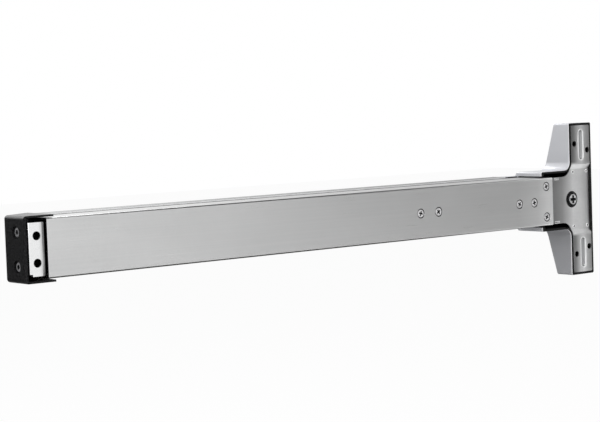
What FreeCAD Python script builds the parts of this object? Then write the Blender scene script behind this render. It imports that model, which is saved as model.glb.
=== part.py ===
"""Touch-bar rim exit device: latch head, housing channel, touch pad, mechanism and end cap.

Row frame, in millimetres: X runs along the bar from the latch head to the end cap, +Y points at the door and
+Z is up. The origin lies on the door plane, midway between the two mounting slots of the head. A depth is
measured from the door plane into the room, so a point at depth d has Y = -d.
"""
import FreeCAD, Part
import math
import os
import re

import Sketcher
from FreeCAD import Placement, Rotation, Vector

# Driving sizes, in millimetres and degrees
SIZES = {
    # Housing channel
    "channel_start": 53.0,
    "channel_length": 717.0,
    "channel_height": 59.3,
    "channel_depth": 46.5,
    "channel_wall": 2.4,
    "channel_edge_radius": 2.0,
    # Touch pad
    "pad_clearance": 0.3,
    "pad_wall": 1.2,
    "pad_rear_depth": 40.3,
    "pad_front_depth": 70.0,
    "pad_corner_radius": 7.0,
    "pad_end_gap": 1.2,
    "pad_travel": 14.0,
    "hook_wall": 1.6,
    "hook_lip": 1.2,
    "hook_drop": 5.0,
    "hook_lip_thickness": 1.6,
    "cap_flange": 2.0,
    "cap_skirt_clearance": 0.45,
    "cap_plug_height": 3.0,
    "cap_plug_length": 7.0,
    "cap_skirt_rear": 36.0,
    # Head cover
    "cover_side": 18.0,
    "cover_wall": 2.4,
    "ear_width": 40.0,
    "ear_half_height": 94.0,
    "ear_tip_depth": 23.9,
    "ear_root_depth": 39.4,
    "ear_root_height": 42.3,
    "root_fillet": 10.0,
    "collar_length": 51.0,
    "collar_half_height": 36.3,
    "collar_depth": 40.3,
    "collar_gap": 1.65,
    "collar_rim": 5.0,
    "shoulder_depth": 44.0,
    "spine_depth": 60.0,
    "spine_corner_radius": 4.0,
    "nose_length": 17.0,
    "cover_edge_radius": 2.0,
    "latch_window_clearance": 1.0,
    # Base plate
    "plate_thickness": 2.5,
    "plate_side_gap": 0.3,
    "plate_inner_gap": 1.5,
    "plate_end_gap": 0.5,
    "plate_middle_height": 57.0,
    "plate_fillet": 14.0,
    "plate_corner_radius": 1.5,
    "joggle_inner": 37.5,
    "joggle_outer": 42.8,
    "tongue_length": 23.0,
    "tongue_clearance": 0.55,
    "slot_inset": 27.1,
    "slot_length": 36.3,
    "slot_width": 6.8,
    "slot_rim": 1.3,
    "slot_rim_depth": 0.7,
    "inner_hole_side": 12.0,
    "inner_hole_inset": 25.7,
    "outer_hole_side": 11.0,
    "outer_hole_inset": 33.9,
    "head_hole_radius": 3.6,
    "hub_side": 16.5,
    "hub_window_radius": 9.3,
    "lance_side": 43.5,
    "lance_height": 26.6,
    "lance_length": 5.0,
    "lance_width": 1.2,
    # Latch frame
    "frame_wall": 2.0,
    "frame_half_height": 21.0,
    "frame_depth": 44.0,
    "frame_front": 13.0,
    "frame_rear": 50.0,
    "foot_height": 36.5,
    "foot_rear": 20.0,
    "frame_rivet_height": 33.8,
    "frame_rivet_near": 11.0,
    "frame_rivet_far": 13.6,
    "rivet_radius": 1.5,
    "rivet_head_radius": 2.3,
    "rivet_head_height": 0.5,
    "spring_tab_height": 8.0,
    "spring_tab_depth": 24.0,
    # Latch bolt
    "bolt_clearance": 0.3,
    "bolt_rear": 14.0,
    "bolt_rib": 7.7,
    "bolt_nose_length": 17.5,
    "bolt_nose_height": 25.0,
    "bolt_flat_depth": 18.5,
    "bolt_back_depth": 38.0,
    "bolt_bevel_tip": 23.0,
    "bolt_bevel_rear": 3.0,
    "bolt_edge_radius": 1.2,
    "latch_throw": 17.0,
    "latch_spring_radius": 4.5,
    "latch_spring_depth": 30.0,
    "latch_spring_pocket": 12.0,
    "spring_pocket_clearance": 0.7,
    # Trim hub
    "hub_radius": 6.3,
    "running_clearance": 0.05,
    "hub_plate_thickness": 3.0,
    "hub_plate_radius": 13.0,
    "hub_arm_thickness": 2.8,
    "hub_disc_radius": 8.0,
    "hub_arm_half": 4.0,
    "hub_swing": 75.0,
    "hub_pin_radius": 2.0,
    "hub_cross_length": 9.0,
    "hub_cross_width": 2.2,
    "hub_cross_depth": 6.0,
    "layer_gap": 0.4,
    # Retractor slide and rod
    "slide_thickness": 2.5,
    "slide_front": 2.0,
    "slide_wide_rear": 30.0,
    "slide_rear": 62.0,
    "slide_tail_half": 8.0,
    "slide_lug_half": 8.0,
    "slide_slot_clearance": 0.35,
    "slide_tab_front": 12.0,
    "slide_tab_rear": 18.0,
    "slide_rivet_start": 5.0,
    "slide_rivet_spacing": 9.0,
    "rod_thickness": 4.0,
    "rod_height": 13.0,
    "rod_near_side": 3.0,
    "rod_front_gap": 0.5,
    "rod_tail": 12.0,
    "slot_clearance": 0.3,
    # Levers
    "head_pivot_inset": 107.0,
    "hinge_pivot_inset": 130.0,
    "pivot_depth": 33.0,
    "lever_swing": 52.0,
    "lever_thickness": 5.0,
    "lever_arm_half": 5.5,
    "rod_arm_half": 4.5,
    "lever_hub_radius": 6.0,
    "lever_hub_clearance": 0.2,
    "pivot_pin_radius": 3.0,
    "pin_head_radius": 4.5,
    "pin_head_height": 1.2,
    "link_pin_radius": 2.5,
    "rod_pin_overhang": 1.0,
    # Lever brackets and lugs
    "bracket_half_gap": 10.5,
    "bracket_wall": 2.5,
    "bracket_length": 36.0,
    "bracket_cheek": 18.0,
    "bracket_top": 40.0,
    "bracket_rivet_spacing": 28.0,
    "lug_half_gap": 7.6,
    "lug_wall": 2.0,
    "lug_length": 20.0,
    "lug_cheek": 11.0,
    "lug_end": 3.0,
    "lug_play": 0.2,
    # Mechanism rail, springs, bumpers
    "rail_thickness": 2.5,
    "rail_half_height": 24.0,
    "rail_lip": 1.0,
    "rail_lip_height": 3.0,
    "rail_start_gap": 3.0,
    "rail_end_gap": 45.0,
    "pad_spring_side": 32.0,
    "pad_spring_height": 18.5,
    "pad_spring_radius": 4.2,
    "spring_wire": 1.0,
    "spring_seat_radius": 2.6,
    "spring_seat_height": 6.0,
    "bumper_length": 7.0,
    "bumper_inner": 3.5,
    "bumper_gap": 0.3,
    # Channel screws
    "near_screws_start": 32.8,
    "near_screws_spacing": 25.8,
    "far_screws_start": 193.2,
    "far_screws_spacing": 28.2,
    "corner_screw_start": 11.3,
    "corner_screw_height": 18.65,
    "screw_head_radius": 5.7,
    "screw_neck_radius": 3.6,
    "screw_head_depth": 2.1,
    "screw_shank_radius": 2.9,
    "screw_length": 6.5,
    "screw_cross": 5.4,
    "screw_cross_width": 1.2,
    "screw_cross_depth": 1.5,
    # End bracket and cap
    "end_hole_gap": 12.1,
    "end_hole_height": 13.3,
    "end_hole_radius": 4.35,
    "end_bracket_thickness": 3.0,
    "end_bracket_height": 52.6,
    "end_bracket_tongue": 35.0,
    "end_bracket_flange": 30.0,
    "end_bracket_gap": 0.5,
    "end_bracket_dip": 10.0,
    "end_bracket_dip_length": 8.0,
    "end_bracket_bend": 6.0,
    "end_bracket_edge_radius": 1.0,
    "end_notch_length": 3.2,
    "end_notch_height": 2.2,
    "cap_overlap": 8.0,
    "cap_length": 34.3,
    "cap_half_height": 33.0,
    "cap_outer_depth": 37.2,
    "cap_inner_depth": 53.1,
    "cap_side_wall": 2.0,
    "cap_front_wall": 1.6,
    "cap_end_wall": 3.3,
    "cap_corner_radius": 5.0,
    "cap_edge_radius": 3.5,
    "cap_boss_height": 2.0,
    "cap_boss_radius": 7.5,
    "cap_screw_depth": 15.1,
    "cap_screw_height": 16.9,
    "cap_counterbore_radius": 6.4,
    "cap_counterbore_depth": 3.6,
    "cap_screw_head_radius": 4.7,
    "cap_screw_head_height": 2.0,
    "cap_screw_radius": 2.0,
    "cap_screw_length": 9.0,
    "cap_socket": 3.4,
    "cap_socket_depth": 1.3,
    # Cover posts and screws
    "post_near": 4.0,
    "post_far": 40.0,
    "post_radius": 4.5,
    "cover_screw_radius": 2.0,
    "cover_screw_head_radius": 4.2,
    "cover_screw_head_depth": 2.0,
    "cover_screw_length": 10.0,
    "cover_cross": 5.0,
    # How far a cutting tool passes the faces that it opens
    "margin": 1.0,
}

# Places worked out from the driving sizes, as formulas
CHANNEL_END = "(channel_start + channel_length)"
HALF = "(channel_height / 2)"
INNER_HALF = "(channel_height / 2 - channel_wall)"
PAD_INNER = "(channel_height / 2 + pad_clearance)"
PAD_OUTER = "(channel_height / 2 + pad_clearance + pad_wall)"
EAR_INNER_SIDE = "(ear_width - cover_side)"
COLLAR_END = "(ear_width - cover_side + collar_length)"
NOSE_END = "(ear_width - cover_side + collar_length + nose_length)"
CAP_EDGE = "(channel_start + channel_length - cap_overlap)"
CAP_END = "(channel_start + channel_length - cap_overlap + cap_length)"
CAP_INSIDE = "(channel_start + channel_length - cap_overlap + cap_length - cap_end_wall)"
BRACKET_EDGE = "(" + CAP_INSIDE + " - cap_boss_height)"
TONGUE_END = "(channel_start + channel_length - end_bracket_tongue)"
RAIL_END = "(" + TONGUE_END + " - rail_end_gap)"
HEAD_PIVOT = "(channel_start + head_pivot_inset)"
HINGE_PIVOT = "(channel_start + channel_length - hinge_pivot_inset)"
SLOT_HEIGHT = "(ear_half_height - slot_inset)"
PAD_START = "(ear_width - cover_side + collar_length + nose_length + pad_end_gap)"
PAD_END = "(channel_start + channel_length - cap_overlap - pad_end_gap)"
PAD_FACE = "(pad_front_depth - pad_wall)"
PLATE_TOP = "(channel_wall + plate_thickness)"
HUB_PLATE_TOP = "(channel_wall + plate_thickness + hub_plate_thickness)"
ARM_REAR = "(channel_wall + plate_thickness + hub_plate_thickness + layer_gap)"
ARM_TOP = "(" + ARM_REAR + " + hub_arm_thickness)"
SLIDE_REAR = "(" + ARM_TOP + " + layer_gap)"
SLIDE_TOP = "(" + SLIDE_REAR + " + slide_thickness)"
BOLT_FRONT = "(-frame_front + bolt_clearance)"
BOLT_RIB = "(bolt_rear - bolt_rib)"
BOLT_BODY_REAR = "(" + SLIDE_TOP + " + bolt_clearance)"
BOLT_BODY_TOP = "(frame_depth - frame_wall - bolt_clearance)"
BOLT_HALF = "(frame_half_height - bolt_clearance)"
HUB_PIN_CIRCLE = "(latch_throw / 2 / sin(hub_swing / 2))"
HUB_PIN_SIDE = "(hub_side - latch_throw / 2)"
HUB_PIN_HEIGHT = "(latch_throw / 2 / tan(hub_swing / 2))"
PAD_ARM = "(pad_travel / 2 / sin(lever_swing / 2))"
PAD_ARM_SHORT = "(pad_travel / 2 / tan(lever_swing / 2))"
ROD_ARM = "(latch_throw / 2 / sin(lever_swing / 2))"
ROD_ARM_SHORT = "(latch_throw / 2 / tan(lever_swing / 2))"
LINK_DEPTH = "(pivot_depth + pad_travel / 2)"
ROD_FAR_SIDE = "(rod_near_side + rod_thickness)"
ROD_MIDDLE = "(pivot_depth - (" + ROD_ARM + " + " + ROD_ARM_SHORT + ") / 2)"
ROD_REAR = "(" + ROD_MIDDLE + " - rod_height / 2)"
ROD_TOP = "(" + ROD_MIDDLE + " + rod_height / 2)"
RAIL_TOP = "(channel_wall + rail_thickness)"
BRACKET_OUTER = "(bracket_half_gap + bracket_wall)"
LUG_OUTER = "(lug_half_gap + lug_wall)"
HOOK_INNER = "(" + LUG_OUTER + " + lug_play)"
HOOK_WALL_SIDE = "(" + HOOK_INNER + " + hook_lip)"
HOOK_OUTER = "(" + HOOK_WALL_SIDE + " + hook_wall)"
HOOK_REAR = "(" + PAD_FACE + " - hook_drop)"
HOOK_LIP_TOP = "(" + HOOK_REAR + " + hook_lip_thickness)"

doc = FreeCAD.newDocument("PanicBar")
sheet = doc.addObject("Spreadsheet::Sheet", "Sizes")
for row, (alias, number) in enumerate(SIZES.items(), start=1):
    sheet.set("A" + str(row), alias)
    sheet.set("B" + str(row), str(number))
    sheet.setAlias("B" + str(row), alias)
doc.recompute()

parts = []


def tied(formula):
    """Point every size word of a formula at its cell of the sheet."""
    def cell(word):
        return "Sizes." + word.group() if word.group() in SIZES else word.group()
    return re.sub(r"[a-z_]+", cell, formula)


def bind(thing, **formulas):
    """Bind properties of an object to formulas."""
    for name, formula in formulas.items():
        thing.setExpression(name, tied(formula))


def place(thing, x="0", depth="0", z="0"):
    """Bind an object's place to formulas."""
    thing.setExpression(".Placement.Base.x", tied(x))
    thing.setExpression(".Placement.Base.y", tied("-(" + depth + ")"))
    thing.setExpression(".Placement.Base.z", tied(z))


def box(name, x, depth, z):
    """A block between two formulas along X, in depth and along Z."""
    block = doc.addObject("Part::Box", name)
    bind(block, Length=x[1] + " - (" + x[0] + ")", Width=depth[1] + " - (" + depth[0] + ")")
    bind(block, Height=z[1] + " - (" + z[0] + ")")
    place(block, x[0], depth[1], z[0])
    return block


# Turns that point a cylinder's axis along X, into the room and up
TURNS = {
    "x": Rotation(Vector(0, 1, 0), 90),
    "room": Rotation(Vector(1, 0, 0), 90),
    "z": Rotation(),
}


def rod(name, way, radius, length, x="0", depth="0", z="0"):
    """A cylinder from a point, along X, into the room or up."""
    cylinder = doc.addObject("Part::Cylinder", name)
    cylinder.Placement = Placement(Vector(), TURNS[way])
    bind(cylinder, Radius=radius, Height=length)
    place(cylinder, x, depth, z)
    return cylinder


def cone(name, way, first, last, length, x="0", depth="0", z="0"):
    """A cone from a point, along X, into the room or up."""
    taper = doc.addObject("Part::Cone", name)
    taper.Placement = Placement(Vector(), TURNS[way])
    bind(taper, Radius1=first, Radius2=last, Height=length)
    place(taper, x, depth, z)
    return taper


def fuse(name, *pieces):
    joined = doc.addObject("Part::MultiFuse", name)
    joined.Shapes = list(pieces)
    joined.Refine = True
    return joined


def common(name, *pieces):
    shared = doc.addObject("Part::MultiCommon", name)
    shared.Shapes = list(pieces)
    return shared


def cut(name, base, *tools):
    carved = doc.addObject("Part::Cut", name)
    carved.Base = base
    carved.Tool = tools[0] if len(tools) == 1 else fuse(name + "_tools", *tools)
    return carved


def group(name, pieces):
    """Separate solids that share one node."""
    compound = doc.addObject("Part::Compound", name)
    compound.Links = list(pieces)
    return compound


def keep(thing, label):
    """List an object as a sub-part under its node name."""
    thing.Label = label
    parts.append(thing)
    return thing


def outline(name, plane, corners, start, length):
    """A body padded from a closed outline of straight edges, each corner tied to two formulas."""
    body = doc.addObject("PartDesign::Body", name)
    sketch = body.newObject("Sketcher::SketchObject", name + "_sketch")
    base = [feature for feature in body.Origin.OriginFeatures if feature.Role == plane][0]
    sketch.AttachmentSupport = [(base, "")]
    sketch.MapMode = "FlatFace"
    sketch.setExpression(".AttachmentOffset.Base.z", tied(start))
    count = len(corners)
    ring = [Vector(math.cos(math.tau * k / count), math.sin(math.tau * k / count), 0) for k in range(count)]
    for k in range(count):
        sketch.addGeometry(Part.LineSegment(ring[k], ring[(k + 1) % count]), False)
    ties = [Sketcher.Constraint("Coincident", k, 2, (k + 1) % count, 1) for k in range(count)]
    for k, spot in enumerate(ring):
        ties.append(Sketcher.Constraint("DistanceX", -1, 1, k, 1, spot.x))
        ties.append(Sketcher.Constraint("DistanceY", -1, 1, k, 1, spot.y))
    sketch.addConstraint(ties)
    for k, (across, up) in enumerate(corners):
        sketch.setExpression("Constraints[" + str(count + 2 * k) + "]", tied(across))
        sketch.setExpression("Constraints[" + str(count + 2 * k + 1) + "]", tied(up))
    pad = body.newObject("PartDesign::Pad", name + "_pad")
    pad.Profile = sketch
    bind(pad, Length=length)
    doc.recompute()
    return body


def edges_along(shape, direction, spots):
    """Names of the straight edges along a direction that pass through given spots in the plane across it."""
    across = [axis for axis in (0, 1, 2) if axis != direction]
    names = []
    for index, edge in enumerate(shape.Edges, start=1):
        if len(edge.Vertexes) < 2:
            continue
        run = edge.Vertexes[1].Point - edge.Vertexes[0].Point
        if abs(run[direction]) < 0.999 * run.Length or edge.Curve.TypeId != "Part::GeomLine":
            continue
        middle = edge.CenterOfMass
        for spot in spots:
            if math.dist((middle[across[0]], middle[across[1]]), spot) < 0.01:
                names.append("Edge" + str(index))
    return names


def soften(body, radius, direction, spots):
    """Round a body's straight edges along one direction, found by where they pass."""
    names = edges_along(body.Shape, direction, spots)
    if len(names) < len(spots):
        raise RuntimeError(body.Label + " lacks an edge to round")
    base = body.Tip
    rounding = body.newObject("PartDesign::Fillet", body.Name + "_round_" + str(len(body.Group)))
    rounding.Base = (base, names)
    bind(rounding, Radius=radius)
    doc.recompute()


def mirrored(spots):
    """Spots in X or Y and Z, with their mirror images below Z = 0."""
    return [(first, side * height) for first, height in spots for side in (1, -1)]


def size(name):
    return SIZES[name]


RAIL_SCREWS = [
    ("channel_start + near_screws_start", "0"),
    ("channel_start + near_screws_start + near_screws_spacing", "0"),
    ("channel_start + far_screws_start", "0"),
    ("channel_start + far_screws_start + far_screws_spacing", "0"),
]
PLATE_SCREWS = [
    ("channel_start + corner_screw_start", "corner_screw_height"),
    ("channel_start + corner_screw_start", "-corner_screw_height"),
]
HEAD_HOLES = [
    ("inner_hole", "inner_hole_side", "(ear_half_height - inner_hole_inset)"),
    ("outer_hole", "-outer_hole_side", "(ear_half_height - outer_hole_inset)"),
]
RIVET_SPOTS = [
    ("-frame_rivet_near", "frame_rivet_height"),
    ("frame_rivet_far", "frame_rivet_height"),
    ("-frame_rivet_near", "-frame_rivet_height"),
    ("frame_rivet_far", "-frame_rivet_height"),
]
STATIONS = {"head": HEAD_PIVOT, "hinge": HINGE_PIVOT}
SIDES = {"upper": "", "lower": "-"}
COVER_SCREWS = ["post_near", "post_far"]
SLIDE_RIVETS = [
    "(slide_rear + slide_rivet_start)",
    "(slide_rear + slide_rivet_start + slide_rivet_spacing)",
]


def span(sign, near, far):
    """The pair of heights between near and far, above or below the middle."""
    if sign == "-":
        return "-" + far, "-" + near
    return near, far


def bore(name, way, radius, start, end, x="0", depth="0", z="0"):
    """A drilling tool from start to end along its way; the other two give its axis."""
    spot = {"x": x, "room": depth, "z": z}
    spot[way] = start
    return rod(name, way, radius, end + " - (" + start + ")", spot["x"], spot["room"], spot["z"])


def upright_slot(name, x, z, radius, depth):
    """A round-ended slot tool that runs up and down."""
    ends = [bore(name + "_end_" + str(k), "room", radius, depth[0], depth[1], x, "0", z[k]) for k in (0, 1)]
    middle = box(name + "_middle", (x + " - " + radius, x + " + " + radius), depth, z)
    return fuse(name, middle, *ends)


def cross(name, x, depth, z, length, width):
    """A cross-shaped recess tool between two depths."""
    bars = []
    for way, across, up in (("flat", length, width), ("upright", width, length)):
        width_span = (x + " - " + across + " / 2", x + " + " + across + " / 2")
        height_span = (z + " - " + up + " / 2", z + " + " + up + " / 2")
        bars.append(box(name + "_" + way, width_span, depth, height_span))
    return fuse(name, *bars)


def rivet(name, way, start, end, x="0", depth="0", z="0", rear_head=True):
    """A rivet whose shank runs from start to end, with a flat head beyond each end or beyond the far one."""
    axis = (x, depth, z)
    pieces = [bore(name + "_shank", way, "rivet_radius", start, end, *axis)]
    pieces.append(bore(name + "_head", way, "rivet_head_radius", end, end + " + rivet_head_height", *axis))
    if rear_head:
        rear = start + " - rivet_head_height"
        pieces.append(bore(name + "_rear", way, "rivet_head_radius", rear, start, *axis))
    return fuse(name, *pieces)


def screw_head(name, x, z):
    """The countersunk head's cone, from the channel's rear face inwards."""
    return cone(name, "room", "screw_head_radius", "screw_neck_radius", "screw_head_depth", x, "0", z)


def housing_channel():
    """An open channel whose back wall lies on the door, countersunk for its six screws."""
    corners = [
        ("0", "-" + HALF),
        ("0", HALF),
        ("-channel_depth", HALF),
        ("-channel_depth", INNER_HALF),
        ("-channel_wall", INNER_HALF),
        ("-channel_wall", "-" + INNER_HALF),
        ("-channel_depth", "-" + INNER_HALF),
        ("-channel_depth", "-" + HALF),
    ]
    profile = outline("channel_profile", "YZ_Plane", corners, "channel_start", "channel_length")
    soften(profile, "channel_edge_radius", 0, mirrored([(0, size("channel_height") / 2)]))
    tools = []
    for k, (x, z) in enumerate(RAIL_SCREWS + PLATE_SCREWS):
        tools.append(screw_head("channel_sink_" + str(k), x, z))
        hole = "channel_hole_" + str(k)
        tools.append(bore(hole, "room", "screw_neck_radius", "-margin", "channel_wall + margin", x, "0", z))
    keep(cut("housing_channel", profile, *tools), "housing_channel")


def channel_screws():
    """Six countersunk screws with cross recesses, flush with the back wall."""
    screws = []
    for k, (x, z) in enumerate(RAIL_SCREWS + PLATE_SCREWS):
        name = "channel_screw_" + str(k)
        head = screw_head(name + "_head", x, z)
        shank = bore(name + "_shank", "room", "screw_shank_radius", "0", "screw_length", x, "0", z)
        depth = ("-margin", "screw_cross_depth")
        recess = cross(name + "_recess", x, depth, z, "screw_cross", "screw_cross_width")
        screws.append(cut(name, fuse(name + "_blank", head, shank), recess))
    keep(group("channel_screws", screws), "channel_screws")


def touch_pad():
    """The pushed face: a channel that slides over the housing, with two hooks that hold the lugs."""
    side = [
        ("pad_rear_depth", PAD_INNER),
        ("pad_rear_depth", PAD_OUTER),
        ("pad_front_depth", PAD_OUTER),
    ]
    hook = [
        (PAD_FACE, HOOK_WALL_SIDE),
        (HOOK_LIP_TOP, HOOK_WALL_SIDE),
        (HOOK_LIP_TOP, HOOK_INNER),
        (HOOK_REAR, HOOK_INNER),
        (HOOK_REAR, HOOK_OUTER),
        (PAD_FACE, HOOK_OUTER),
        (PAD_FACE, PAD_INNER),
    ]
    upper = [("-" + depth, z) for depth, z in hook + side]
    lower = [("-" + depth, "-" + z) for depth, z in reversed(hook + side)]
    start = PAD_START + " + cap_flange"
    length = PAD_END + " - " + PAD_START + " - cap_flange * 2"
    profile = outline("touch_pad", "YZ_Plane", upper + lower, start, length)
    outer = size("channel_height") / 2 + size("pad_clearance") + size("pad_wall")
    face = size("pad_front_depth")
    wall = size("pad_wall")
    soften(profile, "pad_corner_radius", 0, mirrored([(-face, outer)]))
    soften(profile, "pad_corner_radius - pad_wall", 0, mirrored([(wall - face, outer - wall)]))
    keep(profile, "touch_pad")


def pad_cap(name, start, plug_start):
    """A moulded cap on one end of the pad, slit for the housing's two walls."""
    skirt = "(" + INNER_HALF + " - cap_skirt_clearance)"
    slit = "(channel_depth + pad_travel + pad_clearance)"
    half = [
        ("pad_front_depth", PAD_OUTER),
        ("pad_rear_depth", PAD_OUTER),
        ("pad_rear_depth", PAD_INNER),
        (slit, PAD_INNER),
        (slit, skirt),
        ("cap_skirt_rear", skirt),
    ]
    upper = [("-" + depth, z) for depth, z in half]
    lower = [("-" + depth, "-" + z) for depth, z in reversed(half)]
    plate = outline(name + "_plate", "YZ_Plane", upper + lower, start, "cap_flange")
    outer = size("channel_height") / 2 + size("pad_clearance") + size("pad_wall")
    soften(plate, "pad_corner_radius", 0, mirrored([(-size("pad_front_depth"), outer)]))
    plugs = []
    for side, sign in SIDES.items():
        length = (plug_start, plug_start + " + cap_plug_length")
        depth = (PAD_FACE + " - cap_plug_height", PAD_FACE)
        height = span(sign, "(" + HOOK_OUTER + " + pad_clearance)", "(" + PAD_OUTER + " - pad_corner_radius)")
        plugs.append(box(name + "_plug_" + side, length, depth, height))
    keep(fuse(name, plate, *plugs), name)


def head_cover():
    """The cast cover: tapered ears, a collar round the housing and a spine that ends in the nose."""
    front = size("spine_depth")
    side_edge = -size("cover_side")
    ear = size("ear_width") - size("cover_side")
    collar = ear + size("collar_length")
    wall = size("cover_wall")
    plan = outline("cover_plan", "XZ_Plane", [
        ("-cover_side", "-ear_half_height"),
        (EAR_INNER_SIDE, "-ear_half_height"),
        (EAR_INNER_SIDE, "-collar_half_height"),
        (COLLAR_END, "-collar_half_height"),
        (COLLAR_END, "collar_half_height"),
        (EAR_INNER_SIDE, "collar_half_height"),
        (EAR_INNER_SIDE, "ear_half_height"),
        ("-cover_side", "ear_half_height"),
    ], "0", "spine_depth")
    soften(plan, "root_fillet", 1, mirrored([(ear, size("collar_half_height"))]))
    top = size("ear_half_height")
    tips = [(side_edge, top), (ear, top), (collar, size("collar_half_height"))]
    soften(plan, "cover_edge_radius", 1, mirrored(tips))
    profile = outline("cover_profile", "YZ_Plane", [
        ("0", "-ear_half_height"),
        ("0", "ear_half_height"),
        ("-ear_tip_depth", "ear_half_height"),
        ("-ear_root_depth", "ear_root_height"),
        ("-collar_depth", "collar_half_height"),
        ("-shoulder_depth", PAD_OUTER),
        ("-shoulder_depth", "-" + PAD_OUTER),
        ("-collar_depth", "-collar_half_height"),
        ("-ear_root_depth", "-ear_root_height"),
        ("-ear_tip_depth", "-ear_half_height"),
    ], "-cover_side", "ear_width + collar_length")
    spine = outline("cover_spine", "XY_Plane", [
        ("-cover_side", "-ear_tip_depth"),
        (COLLAR_END, "-ear_tip_depth"),
        (COLLAR_END, "-pad_rear_depth"),
        (NOSE_END, "-pad_rear_depth"),
        (NOSE_END, "-spine_depth"),
        ("-cover_side", "-spine_depth"),
    ], "-" + PAD_OUTER, PAD_OUTER + " * 2")
    half = size("channel_height") / 2 + size("pad_clearance") + size("pad_wall")
    soften(spine, "spine_corner_radius", 0, mirrored([(-front, half)]))
    soften(spine, "cover_edge_radius", 2, [(side_edge, -front)])
    outside = fuse("cover_outside", common("cover_shell", plan, profile), spine)
    inner_plan = outline("cover_inner_plan", "XZ_Plane", [
        ("cover_wall - cover_side", "cover_wall - ear_half_height"),
        (EAR_INNER_SIDE + " - cover_wall", "cover_wall - ear_half_height"),
        (EAR_INNER_SIDE + " - cover_wall", "cover_wall - collar_half_height"),
        (COLLAR_END + " - collar_rim", "cover_wall - collar_half_height"),
        (COLLAR_END + " - collar_rim", "collar_half_height - cover_wall"),
        (EAR_INNER_SIDE + " - cover_wall", "collar_half_height - cover_wall"),
        (EAR_INNER_SIDE + " - cover_wall", "ear_half_height - cover_wall"),
        ("cover_wall - cover_side", "ear_half_height - cover_wall"),
    ], "-margin", "spine_depth")
    corners = mirrored([(ear - wall, size("collar_half_height") - wall)])
    soften(inner_plan, "root_fillet + cover_wall", 1, corners)
    inner_profile = outline("cover_inner_profile", "YZ_Plane", [
        ("margin", "cover_wall - ear_half_height"),
        ("margin", "ear_half_height - cover_wall"),
        ("cover_wall - ear_tip_depth", "ear_half_height - cover_wall"),
        ("cover_wall - ear_root_depth", "ear_root_height"),
        ("cover_wall - collar_depth", "collar_half_height - cover_wall"),
        ("cover_wall - shoulder_depth", PAD_INNER),
        ("cover_wall - shoulder_depth", "-" + PAD_INNER),
        ("cover_wall - collar_depth", "cover_wall - collar_half_height"),
        ("cover_wall - ear_root_depth", "-ear_root_height"),
        ("cover_wall - ear_tip_depth", "cover_wall - ear_half_height"),
    ], "-cover_side", "ear_width + collar_length")
    bar_front = "-(channel_depth + pad_clearance)"
    hollow = outline("cover_hollow", "XY_Plane", [
        ("cover_wall - cover_side", "-ear_tip_depth"),
        (NOSE_END + " + margin", "-ear_tip_depth"),
        (NOSE_END + " + margin", bar_front),
        (NOSE_END + " - cover_wall", bar_front),
        (NOSE_END + " - cover_wall", "cover_wall - spine_depth"),
        ("cover_wall - cover_side", "cover_wall - spine_depth"),
    ], "-" + PAD_INNER, PAD_INNER + " * 2")
    mouth_half = "(" + HALF + " + collar_gap)"
    mouth = box("cover_mouth", (COLLAR_END + " - collar_rim - margin", COLLAR_END + " + margin"),
                ("-margin", "collar_depth - cover_wall"), ("-" + mouth_half, mouth_half))
    window_half = "(bolt_nose_height / 2 + latch_window_clearance)"
    window = box("latch_window", ("-cover_side - margin", "cover_wall - cover_side + margin"),
                 ("bolt_flat_depth - latch_window_clearance", "bolt_back_depth + latch_window_clearance"),
                 ("-" + window_half, window_half))
    tools = [common("cover_cavity", inner_plan, inner_profile), hollow, mouth, window]
    seat = "spine_depth - cover_screw_head_depth"
    for x in COVER_SCREWS:
        radius = "cover_screw_radius + running_clearance"
        start = "spine_depth - cover_wall - margin"
        tools.append(bore(x + "_hole", "room", radius, start, "spine_depth + margin", x))
        ends = ("cover_screw_radius", "cover_screw_head_radius")
        tools.append(cone(x + "_sink", "room", ends[0], ends[1], "cover_screw_head_depth", x, seat))
    keep(cut("head_cover", outside, *tools), "head_cover")


def cover_screws():
    """Two countersunk screws through the spine and the posts that they enter."""
    screws = []
    posts = []
    seat = "spine_depth - cover_screw_head_depth"
    tip = "spine_depth - cover_screw_length"
    ends = ("cover_screw_radius", "cover_screw_head_radius")
    for x in COVER_SCREWS:
        name = x + "_screw"
        head = cone(name + "_head", "room", ends[0], ends[1], "cover_screw_head_depth", x, seat)
        shank = bore(name + "_shank", "room", "cover_screw_radius", tip, "spine_depth", x)
        depth = ("spine_depth - screw_cross_depth", "spine_depth + margin")
        recess = cross(name + "_recess", x, depth, "0", "cover_cross", "screw_cross_width")
        screws.append(cut(name, fuse(name + "_blank", head, shank), recess))
        pillar = bore(x + "_pillar", "room", "post_radius", "frame_depth", "spine_depth - cover_wall", x)
        thread = bore(x + "_thread", "room", "cover_screw_radius", tip, "spine_depth", x)
        posts.append(cut(x + "_tapped", pillar, thread))
    keep(group("cover_screws", screws), "cover_screws")
    keep(group("cover_posts", posts), "cover_posts")


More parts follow.
